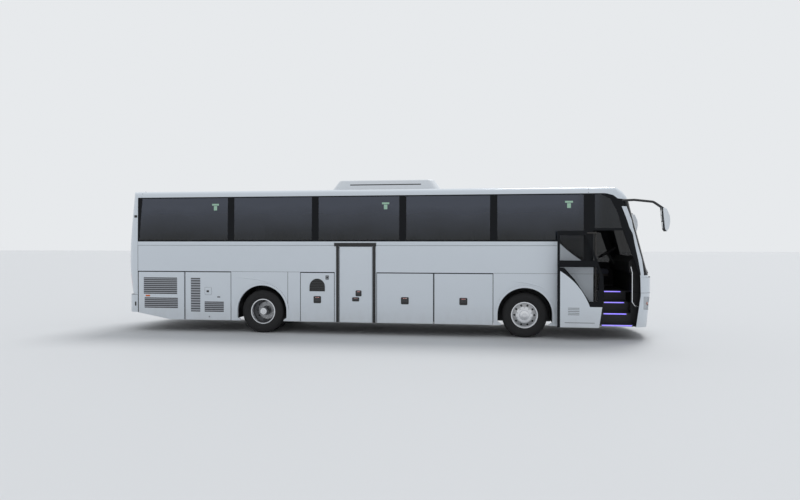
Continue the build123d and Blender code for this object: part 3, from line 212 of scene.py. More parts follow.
coach_white, clouded_white = rgb(0.70, 0.75, 0.80), rgb(0.62, 0.67, 0.73)
belt_black = rgb(0.004, 0.005, 0.007)
road_dust = rgb(0.42, 0.41, 0.38)
trim_black = rgb(0.018, 0.018, 0.020)
dust_top_z, dust_full_z = 0.75, 0.27
gloss, belt_gloss = 0.6, 0.02


def shaded_inner_side(coat, middle):
    """1 on faces that look inward, to a middle point or line of the body: the shell's lining, painted shade.
    """
    faces = coat.split(coat.node("ShaderNodeNewGeometry", output="Normal"))
    looks_out = sum(face * (place - at) for face, place, at in zip(faces, (coat.x, coat.y, coat.z), middle)
                    if at is not None)
    return looks_out < -0.15


def paint(name, black=None, middle=(None, 0.0, 1.9)):
    """Gloss coach paint, duller with road dust low down, black where a mask says so, and painted shade
    inside.
    """
    coat = Finish(name)
    cloud = coat.noise(2.3, 3)
    colour = coat.blend(cloud * 0.10, coach_white, clouded_white)
    dust = coat.run(coat.z, dust_top_z, dust_full_z) * coat.noise(9, 4, (1, 1, 0.5)) * 0.35
    colour = coat.blend(dust, colour, road_dust)
    roughness = 0.22 + dust * 0.5 + cloud * 0.06
    shine = gloss
    if black:
        mask = black(coat)
        colour = coat.blend(mask, colour, belt_black)
        roughness = roughness - mask * 0.10
        shine = gloss - mask * (gloss - belt_gloss)
    # inward faces take trim black: the dark lower lining, and painted shade over the lighter upper lining
    lining = shaded_inner_side(coat, middle)
    return coat.surface(Base_Color=coat.blend(lining, colour, trim_black), Roughness=roughness + lining * 0.4,
                        Coat_Weight=shine * (1 - lining), Coat_Roughness=0.04, Specular_IOR_Level=0.14,
                        Normal=coat.relief(coat.noise(70, 1), 0.02, 0.002))


# the swoosh: where the belt's lower edge leaves the sill, and where it ends at the front door's post
belt_z = 2.156
swoosh_low_z = 1.590
door_post_x = front_axle_x + 1.473
swoosh_points = ((front_axle_x + 0.715, belt_z), (front_axle_x + 1.08, 1.835), (door_post_x, swoosh_low_z))


def circle_through(a, b, c):
    """Centre and radius of the circle through three points."""
    d = 2 * (a[0] * (b[1] - c[1]) + b[0] * (c[1] - a[1]) + c[0] * (a[1] - b[1]))
    squares = [p[0] ** 2 + p[1] ** 2 for p in (a, b, c)]
    x = (squares[0] * (b[1] - c[1]) + squares[1] * (c[1] - a[1]) + squares[2] * (a[1] - b[1])) / d
    z = (squares[0] * (c[0] - b[0]) + squares[1] * (a[0] - c[0]) + squares[2] * (b[0] - a[0])) / d
    return x, z, sqrt((a[0] - x) ** 2 + (a[1] - z) ** 2)


def inside_circle(coat, circle):
    """1 inside a circle in side view."""
    x, z, radius = circle
    return (coat.x - x) * (coat.x - x) + (coat.z - z) * (coat.z - z) < radius ** 2


def window_belt(coat):
    """The black belt: all above the sill, and above the swoosh that drops towards the front door."""
    past_start = coat.x > swoosh_points[0][0]
    return (coat.z > belt_z) | (past_start & inside_circle(coat, circle_through(*swoosh_points)))


def stepped(coat, along, points):
    """A height or station that follows straight runs through points, each (place along, value)."""
    value = points[0][1]
    for (start, first), (end, second) in zip(points, points[1:]):
        value = value + coat.run(along, start, end, 0.0, second - first)
    return value


# the white corner pillar in side view, from its foot up
# height, then its rear and front edge ahead of the front axle
pillar = ((1.458, 2.471, 2.546), (1.755, 2.424, 2.515), (2.069, 2.356, 2.429), (2.328, 2.309, 2.365),
          (2.471, 2.233, 2.321), (2.619, 2.187, 2.300), (2.918, 2.073, 2.184))
pillar_rear = [(z, front_axle_x + rear) for z, rear, _ in pillar]
pillar_front = [(z, front_axle_x + ahead) for z, _, ahead in pillar]
pillar_top_z, front_belt_z = 2.925, 1.42
# the lower edge of the white dome: station ahead of the front axle, height
dome_points = ((1.700, 3.215), (1.763, 3.208), (1.895, 3.170), (1.988, 3.097), (2.110, 3.083))
dome_edge = [(front_axle_x + ahead, z) for ahead, z in dome_points]
rear_belt_low_z, rear_belt_high_z, rear_belt_half = 2.18, 3.11, 1.0


def front_belt(coat):
    """Black from the doorway round the screen, up to the white dome, with a thin white pillar in it."""
    on_pillar = (coat.x > stepped(coat, coat.z, pillar_rear)) & (coat.x < stepped(coat, coat.z, pillar_front))
    white = on_pillar & (coat.z < pillar_top_z)
    return (1 - white) * (coat.z < stepped(coat, coat.x, dome_edge)) * (coat.z > front_belt_z)


def rear_belt(coat):
    """Black round the rear window."""
    in_height = (coat.z > rear_belt_low_z) & (coat.z < rear_belt_high_z)
    return in_height & (coat.y > -rear_belt_half) & (coat.y < rear_belt_half)


# the upper edge of the open leaf's white panel: a curve from its rear edge down to its level foot
leaf_curve = ((front_axle_x + 0.756, 1.505), (front_axle_x + 1.115, 1.19), (front_axle_x + 1.361, 0.765))
leaf_foot_z, leaf_rear_x = 0.737, front_axle_x + 0.742


def leaf_belt(coat):
    """The open front leaf is black but for its white lower panel, which swoops down forward."""
    under_edge = inside_circle(coat, circle_through(*leaf_curve)) | (coat.z < leaf_foot_z)
    return 1 - ((coat.x > leaf_rear_x) & under_edge)


flap_kinds = ("luggage_flap", "service_door", "engine_door")
flap_names = [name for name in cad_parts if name.startswith(flap_kinds)]
seam_z, hinge_shade_band = 1.445, 0.020


def hinge_groove_shade(coat):
    """A black band along the flaps' top edge: the painted shade of the hinge groove."""
    return coat.z > seam_z - hinge_shade_band


cab_middle = (front_axle_x + 1.5, 0.0, 1.9)
tail_middle_x = front_axle_x - 8.5
plain_paint = paint("coach_paint")
dress(plain_paint, "roof_skin", "mid_door")
# the flaps' top edge is black: painted shade of the hinge groove
dress(paint("flap_paint", hinge_groove_shade), *flap_names)
dress(paint("front_panel_paint", middle=cab_middle), "front_mask", "front_bumper")
dress(paint("tail_panel_paint", middle=(tail_middle_x, 0.0, 1.2)), "rear_bumper", "rear_lid")
dress(paint("wall_paint", window_belt), "side_wall_right", "side_wall_left")
dress(paint("front_cap_paint", front_belt, cab_middle), "front_cap")
dress(paint("rear_cap_paint", rear_belt, (tail_middle_x, 0.0, 1.9)), "rear_cap")
dress(paint("front_door_paint", leaf_belt), "front_door")


# Seams between the panels
# Dark sealant fills the joints: across the roof behind the dome and ahead of the rear cap, down the rear
# corners, between two side panels, and along the hinge line of the flaps where there is no flap.
SEAL_SLOT = "black_plastic"
RIGHT, LEFT = Vector((0, -1, 0)), Vector((0, 1, 0))
sides = (("right", RIGHT), ("left", LEFT))
far_off, sharp_angle = 8, radians(40)
skins = {}


def skin(node, start, way):
    """Where a straight line from a start meets a CAD node, and which way the node faces there."""
    if node not in skins:
        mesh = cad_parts[node].data
        skins[node] = BVHTree.FromPolygons([v.co for v in mesh.vertices], [p.vertices for p in mesh.polygons])
    place, facing, _, _ = skins[node].ray_cast(start, way)
    if place is None:
        raise ValueError(f"{node} isn't met from {tuple(start)}")
    return place, facing if facing.dot(way) < 0 else -facing


def laid_on(node, outward):
    """A way to lay flat shapes on a node: across it, up it, and out from its skin."""
    axis = max(range(3), key=lambda number: abs(outward[number]))

    def lay(across, up, out):
        start = (Vector((0, across, up)), Vector((across, 0, up)), Vector((across, up, 0)))[axis]
        return skin(node, start + outward * far_off, -outward)[0] + outward * out
    return lay


def gather(shapes):
    """One mesh from several."""
    whole = bmesh.new()
    for shape in shapes:
        spare = bpy.data.meshes.new("spare")
        shape.to_mesh(spare)
        shape.free()
        whole.from_mesh(spare)
        bpy.data.meshes.remove(spare)
    return whole


def put(name, shapes, material, body, slot):
    """Make one named piece from shapes, give it its finish, and let it ride on a body."""
    whole = gather(shapes)
    bmesh.ops.recalc_face_normals(whole, faces=whole.faces)
    mesh = bpy.data.meshes.new(name)
    whole.to_mesh(mesh)
    whole.free()
    mesh.materials.append(material)
    mesh.shade_smooth()
    mesh.set_sharp_from_angle(angle=sharp_angle)
    made = bpy.data.objects.new(name, mesh)
    scene.collection.objects.link(made)
    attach(made, body)
    return made


def rod(points, radius, steps=8, taper=False):
    """A round rod along points, thinned to its ends if it tapers."""
    shape = bmesh.new()
    rings = []
    for i, point in enumerate(points):
        ahead = (points[min(i + 1, len(points) - 1)] - points[max(i - 1, 0)]).normalized()
        across = ahead.cross(Vector((0.31, 0.52, 0.79))).normalized()
        up = ahead.cross(across)
        share = i / (len(points) - 1)
        thick = radius * (sin(pi * share) ** 0.5 * 0.9 + 0.1 if taper else 1)
        turns = [2 * pi * k / steps for k in range(steps)]
        rings.append([shape.verts.new(point + (across * cos(t) + up * sin(t)) * thick) for t in turns])
    for ring, following in zip(rings, rings[1:]):
        for k in range(steps):
            shape.faces.new((ring[k], ring[(k + 1) % steps], following[(k + 1) % steps], following[k]))
    shape.faces.new(rings[0])
    shape.faces.new(reversed(rings[-1]))
    return shape


def plate(outline, low, high, lay, edge=0.001, hole=None, cuts=()):
    """A flat plate with rounded front edges, drawn flat, cut across where it must bend, and laid in place."""
    shape = bmesh.new()
    rim = [shape.verts.new((u, v, low)) for u, v in outline]
    if hole:
        inner = [shape.verts.new((u, v, low)) for u, v in hole]
        for i in range(len(rim)):
            shape.faces.new((rim[i - 1], rim[i], inner[i], inner[i - 1]))
    else:
        shape.faces.new(rim)
    for at in cuts:
        everything = shape.verts[:] + shape.edges[:] + shape.faces[:]
        bmesh.ops.bisect_plane(shape, geom=everything, plane_co=(at, 0, 0), plane_no=(1, 0, 0))
    raised = bmesh.ops.extrude_face_region(shape, geom=shape.faces[:])
    for vert in raised["geom"]:
        if isinstance(vert, bmesh.types.BMVert):
            vert.co.z = high
    bmesh.ops.recalc_face_normals(shape, faces=shape.faces)
    if edge:
        front = [line for line in shape.edges
                 if all(vert.co.z > high - 1e-7 for vert in line.verts) and line.calc_face_angle(0) > 0.5]
        bmesh.ops.bevel(shape, geom=front, offset=edge, segments=2, affect="EDGES", profile=0.5)
    for vert in shape.verts:
        vert.co = lay(*vert.co)
    return shape


def rectangle(u_low, v_low, u_high, v_high):
    return [(u_low, v_low), (u_high, v_low), (u_high, v_high), (u_low, v_high)]


def rubber_like(name, colour, roughness=0.6):
    """Black rubber or sealant, a little dusty, also used as painted shade in openings and under mouldings."""
    seal = Finish(name)
    dust = seal.noise(30, 4)
    return seal.surface(Base_Color=seal.blend(dust * 0.35, colour, rgb(0.09, 0.09, 0.088)),
                        Roughness=roughness + dust * 0.2, Normal=seal.relief(seal.noise(260, 2), 0.1, 0.0006))


sealant = rubber_like("panel_sealant", rgb(0.012, 0.012, 0.013))
gutter_angle, roof_seam_r = 10.3, 0.007
roof_seams = (("front", front_axle_x + 1.372), ("rear", front_axle_x - 9.103))
corner_x, corner_seam_r = front_axle_x - 9.2005, 0.005
corner_runs = (("rear_bumper", (0.456, 0.870)), ("rear_cap", (0.882, 2.156, 2.7, 3.205)))
skirt_low_z, skirt_gap = 0.290, 0.004
panel_x, panel_low_z = front_axle_x - 5.450, skirt_low_z + skirt_gap
panel_seam_half, hinge_seam_half = 0.004, 0.0025
hinge_low_z, hinge_high_z = seam_z - hinge_seam_half, seam_z + hinge_seam_half
hinge_runs = ((-6.824, -5.163), (-0.681, 1.465))


def roof_arc(x, steps=40):
    """Points across the roof at a station, from one gutter over the crown to the other."""
    points = []
    for k in range(steps + 1):
        angle = radians(gutter_angle + (180 - 2 * gutter_angle) * k / steps)
        way = Vector((0, cos(angle), sin(angle)))
        place, _ = skin("roof_skin", Vector((x, 0, 3.0)) + way * 4, -way)
        points.append(place - way * 0.002)
    return points


for end, seam_x in roof_seams:
    put(f"roof_seam_{end}", [rod(roof_arc(seam_x), roof_seam_r)], sealant, "root", SEAL_SLOT)
for word, outward in sides:
    wall = laid_on(f"side_wall_{word}", outward)
    strips = [rectangle(front_axle_x + rear, hinge_low_z, front_axle_x + ahead, hinge_high_z)
              for rear, ahead in hinge_runs]
    strips.append(rectangle(panel_x - panel_seam_half, panel_low_z, panel_x + panel_seam_half, seam_z))
    shapes = [rod([laid_on(node, outward)(corner_x, z, -0.002) for z in heights], corner_seam_r)
              for node, heights in corner_runs]
    shapes += [plate(strip, 0, 0.0015, wall, 0) for strip in strips]
    put(f"panel_seams_{word}", shapes, sealant, "root", SEAL_SLOT)


# Rubber edging on the flaps
# A flat black rubber lip is clipped down both upright edges of each side flap and door. It ends below the
# black band painted along the top as the hinge groove's shade, so that it stays clear of the wall when the
# flap opens.
edging = rubber_like("flap_edging", rgb(0.022, 0.023, 0.024))
lip_width, lip_inset, lip_below_top = 0.009, 0.001, 0.022
tail_x = front_axle_x - 9.552
skirt_rise, rise_start, rise_end = 0.151, 1.175, 0.363


def skirt_low(x):
    """Lower edge of the skirt, which rises towards the tail."""
    share = min(max((tail_x + rise_start - x) / (rise_start - rise_end), 0), 1)
    return skirt_low_z + share * skirt_rise


for name in flap_names:
    low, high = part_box(name)
    lay = laid_on(name, RIGHT if "right" in name else LEFT)
    lip_top_z = high.z - lip_below_top
    lips = [plate(rectangle(x, skirt_low(x) + skirt_gap, x + lip_width, lip_top_z), -0.002, 0.0012, lay)
            for x in (low.x + lip_inset, high.x - lip_inset - lip_width)]
    put(f"{name}_edging", lips, edging, name, SEAL_SLOT)


# Flap and door handles
# Each has a black dish with a pressed bezel round it, a lift paddle with a lock barrel, and a small red and
# white reflecting strip over the paddle. The dish is let into the panel and screwed from behind.
handle_black = rubber_like("handle_plastic", rgb(0.008, 0.008, 0.009), 0.4)
paddle_grey = rubber_like("paddle_plastic", rgb(0.035, 0.036, 0.038), 0.35)
strip = Finish("reflecting_strip")
chequer = strip.node("ShaderNodeTexChecker", (), {"Vector": strip.place, "Scale": 60.0}, "Fac")
strip_film = strip.surface(Base_Color=strip.blend(chequer, rgb(0.55, 0.05, 0.04), rgb(0.65, 0.55, 0.52)),
                           Roughness=0.3 + strip.noise(200) * 0.1)
half_width = 1.275
handle_low_z, handle_high_z, handle_half, bezel_width = 0.732, 0.878, 0.080, 0.009
dish_r, grip_inset, grip_r = 0.014, 0.013, 0.010
rib_pitch, rib_height, rib_r = 0.012, 0.004, 0.0019
# foot and top of the reflecting strip, both below the top of the dish, and its corner radius
strip_low, strip_high, strip_r = 0.028, 0.012, 0.003
lock_profile = [(0, 0), (0, 0.009), (0.0065, 0.009), (0.0075, 0.007), (0.0075, 0.0)]
# the mid door's two handles: middle ahead of the front axle, low and high edge, half width
mid_handles = {"mid_door_upper": (-3.763, 0.903, 1.021, 0.0605), "mid_door": (-3.831, 0.784, 0.862, 0.074)}


def beside(outward):
    """A way to lay flat shapes on a side of the coach below its windows, where it stands upright."""
    def lay(across, up, out):
        return Vector((across, outward.y * (half_width + out), up))
    return lay


def rounded(u_low, v_low, u_high, v_high, radius, steps=5):
    """A rectangle with round corners."""
    # each corner's centre, and the turn in half circles at which its arc starts
    corners = ((u_high - radius, v_low + radius, -0.5), (u_high - radius, v_high - radius, 0),
               (u_low + radius, v_high - radius, 0.5), (u_low + radius, v_low + radius, 1))
    arcs = [(u, v, pi * (start + 0.5 * k / steps)) for u, v, start in corners for k in range(steps + 1)]
    return [(u + radius * cos(turn), v + radius * sin(turn)) for u, v, turn in arcs]


def turned(profile, centre, outward, steps=48, notch=None):
    """A closed profile of (distance outward, radius) turned about a line through a centre."""
    across = outward.cross(Vector((0, 0, 1)) if abs(outward.z) < 0.9 else Vector((0, 1, 0))).normalized()
    up = outward.cross(across)
    shape = bmesh.new()
    rings = []
    for k in range(steps):
        around = across * cos(2 * pi * k / steps) + up * sin(2 * pi * k / steps)
        rings.append([shape.verts.new(centre + outward * out + around * (notch(k, out, r) if notch else r))
                      for out, r in profile])
    for k in range(steps):
        ring, following = rings[k], rings[(k + 1) % steps]
        for i in range(len(profile)):
            j = (i + 1) % len(profile)
            if profile[i][1] > 1e-6 or profile[j][1] > 1e-6:
                shape.faces.new((ring[i], ring[j], following[j], following[i]))
    bmesh.ops.remove_doubles(shape, verts=shape.verts, dist=1e-6)
    return shape


def middle_x(name):
    """Middle of a node along the coach."""
    low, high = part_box(name)
    return (low.x + high.x) / 2


def handle(name, x, low_z, high_z, half, outward):
    """The dish with its bezel, the paddle with its lock, and the strip, for one handle."""
    flat = beside(outward)
    middle_z, quarter = (low_z + high_z) / 2, (high_z - low_z) / 4
    inside = rounded(x - half, low_z, x + half, high_z, dish_r)
    around = rounded(x - half - bezel_width, low_z - bezel_width,
                     x + half + bezel_width, high_z + bezel_width, dish_r + bezel_width)
    bezel = plate(around, -0.001, 0.006, flat, 0.0015, hole=inside)
    dish = plate(inside, -0.001, 0.0006, flat, 0)
    grip_half = half - grip_inset
    grip = rounded(x - grip_half, middle_z - quarter, x + grip_half, middle_z + quarter, grip_r)
    paddle = plate(grip, 0, 0.0045, flat, 0.0018)
    lock = turned(lock_profile, flat(x + half * 0.55, middle_z, 0), outward, 20)
    bars = [rounded(x - half * 0.55, z, x + half * 0.3, z + rib_height, rib_r, 3)
            for z in (middle_z - rib_pitch, middle_z, middle_z + rib_pitch)]
    ribs = [plate(bar, 0.004, 0.0062, flat, 0.0006) for bar in bars]
    body = name.removesuffix("_upper")
    put(f"{name}_bezel", [bezel, dish], handle_black, body, SEAL_SLOT)
    put(f"{name}_paddle", [paddle, lock, *ribs], paddle_grey, body, SEAL_SLOT)
    band = rounded(x - half * 0.6, high_z - strip_low, x + half * 0.6, high_z - strip_high, strip_r, 3)
    put(f"{name}_strip", [plate(band, 0.0004, 0.0014, flat, 0)], strip_film, body, "tail_lens")


for name in flap_names:
    if name.startswith("luggage"):
        outward = RIGHT if "right" in name else LEFT
        handle(name, middle_x(name), handle_low_z, handle_high_z, handle_half, outward)
for name, (ahead, low_z, high_z, half) in mid_handles.items():
    handle(name, front_axle_x + ahead, low_z, high_z, half, RIGHT)


# Louvres in the engine and service doors
# Pressed steel blades over openings, painted grey, in two fields on each door; the openings' dark is painted
# shade, a black sheet on the skin. Each blade lies on the skin at its upper edge and stands out at its lower
# one, so that rain runs off over the opening.
louvre_mouth = 0.020
louvre_groups = {  # door: rear and front edge ahead of the front axle, low and high edge, openings
    "engine_door": ((-9.049, -8.197, 0.883, 1.304, 9), (-9.030, -8.178, 0.547, 0.819, 6)),
    "service_door": ((-7.846, -7.612, 0.464, 1.307, 14), (-7.501, -7.022, 0.472, 0.739, 6)),
}


def moulding(name, colour, roughness):
    """Moulded plastic or sprayed paint, with a fine grain."""
    plastic = Finish(name)
    fleck = plastic.noise(140, 2)
    return plastic.surface(
        Base_Color=plastic.blend(fleck * 0.12, colour, rgb(*[c * 0.7 for c in colour[:3]])),
        Roughness=roughness + fleck * 0.08, Normal=plastic.relief(fleck, 0.12, 0.001))


# a black sheet laid over each opening, slot and hole: painted shade of the dark behind it
opening_shade = rubber_like("painted_opening_shade", rgb(0.006, 0.006, 0.006), 0.7)
louvre_paint = moulding("louvre_paint", rgb(0.36, 0.38, 0.41), 0.35)


def blade(rear, front, low_z, height, flat):
    """One blade, lying flat at its top edge and standing out at its lower edge."""
    def tilted(across, up, out):
        return flat(across, up, out * (1.5 - (up - low_z) / height))
    return plate(rectangle(rear, low_z, front, low_z + height), 0, 0.0055, tilted, 0.001)


for word, outward in sides:
    for door, groups in louvre_groups.items():
        flat = beside(outward)
        openings, blades = [], []
        for rear, front, low_z, high_z, count in groups:
            pitch = (high_z - low_z) / count
            height = pitch - louvre_mouth
            ends = front_axle_x + rear, front_axle_x + front
            opening = rectangle(ends[0], low_z + height / 2, ends[1], high_z - height / 2)
            openings.append(plate(opening, -0.001, 0.0005, flat, 0))
            blades += [blade(*ends, low_z + i * pitch - height / 2, height, flat) for i in range(1, count)]
        put(f"{door}_openings_{word}", openings, opening_shade, f"{door}_{word}", SEAL_SLOT)
        put(f"{door}_louvres_{word}", blades, louvre_paint, f"{door}_{word}", "white_paint")


# Arched vent
# A round-topped vent beside the mid door, let into the first luggage flap on the right, with a moulded
# rim and cross bars of grey plastic over a black sheet, the painted shade of the opening behind them.
vent_x, vent_half, vent_low_z, vent_spring_z = front_axle_x - 4.742, 0.172, 1.011, 1.109
vent_gaps, bar_half = 7, 0.008


def arched(grow, steps=16):
    """The vent's outline, grown all round."""
    radius = vent_half + grow
    foot = [(vent_x - radius, vent_low_z - grow), (vent_x + radius, vent_low_z - grow)]
    turns = [pi * k / steps for k in range(steps + 1)]
    return foot + [(vent_x + radius * cos(turn), vent_spring_z + radius * sin(turn)) for turn in turns]


flat = beside(RIGHT)
vent_rim = plate(arched(0.012), -0.001, 0.005, flat, 0.001, hole=arched(0))
vent_pitch = (vent_spring_z + vent_half - vent_low_z) / vent_gaps
bars = []
for k in range(1, vent_gaps):
    z = vent_low_z + k * vent_pitch
    reach = sqrt(vent_half ** 2 - max(0, z + bar_half - vent_spring_z) ** 2)
    bar = rectangle(vent_x - reach, z - bar_half, vent_x + reach, z + bar_half)
    bars.append(plate(bar, 0, 0.0035, flat, 0.001))
put("vent_field", [plate(arched(0), -0.001, 0.0005, flat, 0)], opening_shade, "luggage_flap_right_1", SEAL_SLOT)
put("vent_bars", [vent_rim, *bars], paddle_grey, "luggage_flap_right_1", SEAL_SLOT)


# Belt mouldings and wheel arch lips
# A rounded white moulding runs under the windows, with a thin grey strip under it that is its painted
# shadow, and each wheel arch has a raised lip that ends in a small foot. Both are clipped on and painted
# like the body.
moulding_low_z, moulding_high_z, belt_shadow_height = 2.067, 2.153, 0.006
moulding_runs = {"right": ((-9.198, -4.343), (-3.347, 0.712)), "left": ((-9.198, 0.712),)}
# a dark grey strip under the moulding's lower edge: its painted shadow
belt_shadow_paint = rubber_like("belt_shadow_strip", rgb(0.12, 0.125, 0.13))
rear_axle_x = front_axle_x - 6.080
arch_r, arch_z, lip_size, lip_out = 0.600, 0.525, 0.055, 0.008
foot_high_z, foot_toe_z, foot_reach, foot_depth = 0.370, 0.318, 0.075, 0.030


def arch_line(axle_x, radius, steps=32):
    """One edge of an arch lip: up from the skirt, round over the wheel, and down again."""
    turns = [pi * k / steps for k in range(steps + 1)]
    over = [(axle_x + radius * cos(turn), arch_z + radius * sin(turn)) for turn in turns]
    return [(axle_x + radius, skirt_low_z), *over, (axle_x - radius, skirt_low_z)]


def arch_lip(axle_x, flat):
    """The raised lip round one wheel arch, with its two feet."""
    outer, inner = arch_line(axle_x, arch_r + lip_size), arch_line(axle_x, arch_r)
    shapes = [plate([outer[i], outer[i + 1], inner[i + 1], inner[i]], -0.001, lip_out, flat, 0)
              for i in range(len(outer) - 1)]
    for way in (-1, 1):
        leg, toe = axle_x + way * arch_r, axle_x + way * (arch_r - foot_reach)
        foot = [(leg, skirt_low_z), (toe, skirt_low_z), (toe, foot_toe_z), (leg, foot_high_z)]
        shapes.append(plate(foot, -foot_depth, -0.001, flat, 0.002))
    return shapes


for word, outward in sides:
    flat = beside(outward)
    strips, belt_shadows = [], []
    for rear, ahead in moulding_runs[word]:
        start, end = front_axle_x + rear, front_axle_x + ahead
        strip_outline = rectangle(start, moulding_low_z, end, moulding_high_z)
        belt_shadow_outline = rectangle(start, moulding_low_z - belt_shadow_height, end, moulding_low_z)
        strips.append(plate(strip_outline, -0.001, 0.006, flat, 0.003))
        belt_shadows.append(plate(belt_shadow_outline, -0.001, 0.001, flat, 0))
    put(f"belt_moulding_{word}", strips, plain_paint, "root", "white_paint")
    put(f"belt_shadow_strip_{word}", belt_shadows, belt_shadow_paint, "root", SEAL_SLOT)
    put(f"arch_lips_{word}", arch_lip(front_axle_x, flat) + arch_lip(rear_axle_x, flat), plain_paint, "root",
        "white_paint")


# Seals round the mid door
# Black rubber bars down both sides of the door and a broad rail across its top, all screwed to the body.
# They leave a gap to the door, which swings out past them.
door_low, door_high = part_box("mid_door")
seal_rubber = rubber_like("door_seal", rgb(0.006, 0.006, 0.007), 0.5)
seal_top_z, door_gap, bar_clear, bar_width = 2.046, 0.010, 0.018, 0.074
rail_height, rail_rear, rail_ahead = 0.079, 0.121, 0.087
gap_rear_x, gap_front_x = door_low.x - door_gap, door_high.x + door_gap
seal_bars = ((gap_rear_x - bar_width, skirt_low_z, door_low.x - bar_clear, seal_top_z + 0.001),
             (door_high.x + bar_clear, skirt_low_z, gap_front_x + bar_width, seal_top_z + 0.001),
             (gap_rear_x - rail_rear, seal_top_z, gap_front_x + rail_ahead, seal_top_z + rail_height))
seals = [plate(rectangle(*bar), -0.001, 0.012, beside(RIGHT), 0.003) for bar in seal_bars]
put("mid_door_seals", seals, seal_rubber, "root", SEAL_SLOT)


# Slots in the front door
# Five short slots and one long one are cut low in the leaf's pressed white panel. They are drawn as thin
# black sheets on its face: painted shade of the hollow leaf behind them.
leaf_out_y, slot_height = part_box("front_door")[0].y, 0.010
short_slots = [(0.909, 1.151, 0.560 + 0.036 * k) for k in range(5)]
long_slot = (0.839, 1.472, 0.386)


def on_leaf(across, up, out):
    """A place on the open leaf's outer face."""
    return Vector((across, leaf_out_y - out, up))


leaf_slots = [rounded(front_axle_x + rear, z, front_axle_x + ahead, z + slot_height, 0.0049, 3)
              for rear, ahead, z in (*short_slots, long_slot)]
put("front_door_slots", [plate(slot, -0.001, 0.0006, on_leaf, 0) for slot in leaf_slots], opening_shade,
    "front_door", SEAL_SLOT)


# Wipers
# For each half of the screen, a pressed steel arm from a pivot at the screen's foot and a rubber blade
# that is parked low, both black.
FRONT = Vector((1, 0, 0))
screen = laid_on("windscreen", FRONT)
pivot_y, pivot_z = 0.330, 1.440
arm_end, blade_inner, blade_outer = (0.560, 1.515), (0.110, 1.545), (1.010, 1.465)
pivot_profile = [(-0.004, 0), (-0.004, 0.020), (0.018, 0.020), (0.022, 0.014), (0.022, 0)]


def screen_bar(start, end, way, width, low, high, pieces=10):
    """A straight bar across one half of the screen, in short lengths that follow its curve."""
    start_y, end_y = way * start[0], way * end[0]
    run, rise = end_y - start_y, end[1] - start[1]
    length = sqrt(run ** 2 + rise ** 2)
    across, up = -rise * width / 2 / length, run * width / 2 / length
    knots = [(start_y + run * k / pieces, start[1] + rise * k / pieces) for k in range(pieces + 1)]
    lengths = []
    for (y, z), (next_y, next_z) in zip(knots, knots[1:]):
        corners = [(y + across, z + up), (y - across, z - up),
                   (next_y - across, next_z - up), (next_y + across, next_z + up)]
        lengths.append(plate(corners, low, high, screen, 0))
    return lengths


for word, outward in sides:
    way = outward.y
    pieces = screen_bar((pivot_y, pivot_z), arm_end, way, 0.026, 0.010, 0.020, 4)
    pieces += screen_bar(blade_inner, blade_outer, way, 0.022, 0.0005, 0.014)
    pieces.append(turned(pivot_profile, screen(way * pivot_y, pivot_z, 0), FRONT, 20))
    put(f"wiper_{word}", pieces, seal_rubber, "root", SEAL_SLOT)


# Slots in the rear lid
# Two columns of long cooling slots in the pressed steel lid, each with a hood over it that is pressed out
# of the same sheet. The slots are black sheets on the lid's face: painted shade.
REAR = Vector((-1, 0, 0))
lid = laid_on("rear_lid", REAR)
lid_column_y, lid_middle_z, lid_rows, lid_pitch, slot_reach = 0.310, 1.330, 8, 0.040, 0.280
lid_slots, lid_hoods = [], []
for column_y in (-lid_column_y, lid_column_y):
    start, end = column_y - slot_reach, column_y + slot_reach
    cuts = [column_y + 0.07 * k for k in range(-3, 4)]
    for row in range(lid_rows):
        z = lid_middle_z + (row - (lid_rows - 1) / 2) * lid_pitch
        slot = rounded(start, z - 0.008, end, z + 0.008, 0.0079, 3)
        hood = rectangle(start, z + 0.006, end, z + 0.014)
        lid_slots.append(plate(slot, -0.0005, 0.0008, lid, 0, cuts=cuts))
        lid_hoods.append(plate(hood, -0.001, 0.006, lid, 0.001, cuts=cuts))
put("rear_lid_slots", lid_slots, opening_shade, "rear_lid", SEAL_SLOT)
put("rear_lid_hoods", lid_hoods, plain_paint, "rear_lid", "white_paint")


# Fittings on the service doors
# A flush steel filler flap with its plastic latch, a framed slot, and a drain plug, on the door of each side.
filler_x = [front_axle_x + ahead for ahead in (-7.493, -7.333)]
filler_low_z, filler_high_z, filler_gap = 0.890, 1.064, 0.004
# the latch, its finger grip and the framed slot: rear and front edge ahead of the front axle, low and high
# edge, corner radius, inner and outer face, rounding of the outer edge
small_fittings = ((-7.451, -7.391, 0.950, 0.994, 0.008, 0.002, 0.008, 0.002),
                  (-7.441, -7.413, 0.962, 0.982, 0.006, 0.007, 0.011, 0.0015),
                  (-7.186, -7.112, 0.826, 0.850, 0.006, -0.001, 0.003, 0.001))
drain_x, drain_z = front_axle_x - 7.382, 0.367
drain_profile = [(-0.002, 0), (-0.002, 0.015), (0.002, 0.015), (0.003, 0.011), (0.0, 0.009), (0.0, 0)]


def filler_outline(grow, radius):
    """The filler flap's outline, grown all round."""
    return rounded(filler_x[0] - grow, filler_low_z - grow, filler_x[1] + grow, filler_high_z + grow, radius)


for word, outward in sides:
    door = laid_on(f"service_door_{word}", outward)
    filler = plate(filler_outline(0, 0.012), -0.001, 0.003, door, 0.0015)
    put(f"filler_flap_{word}", [filler], plain_paint, f"service_door_{word}", "white_paint")
    against = filler_outline(0.0005, 0.0125)
    gap = plate(filler_outline(filler_gap, 0.016), -0.001, 0.0008, door, 0, hole=against)
    raised = []
    for rear, ahead, low_z, high_z, radius, inner, outer, edge in small_fittings:
        outline = rounded(front_axle_x + rear, low_z, front_axle_x + ahead, high_z, radius)
        raised.append(plate(outline, inner, outer, door, edge))
    drain = turned(drain_profile, door(drain_x, drain_z, 0), outward, 24)
    put(f"service_fittings_{word}", [gap, *raised, drain], handle_black, f"service_door_{word}", SEAL_SLOT)


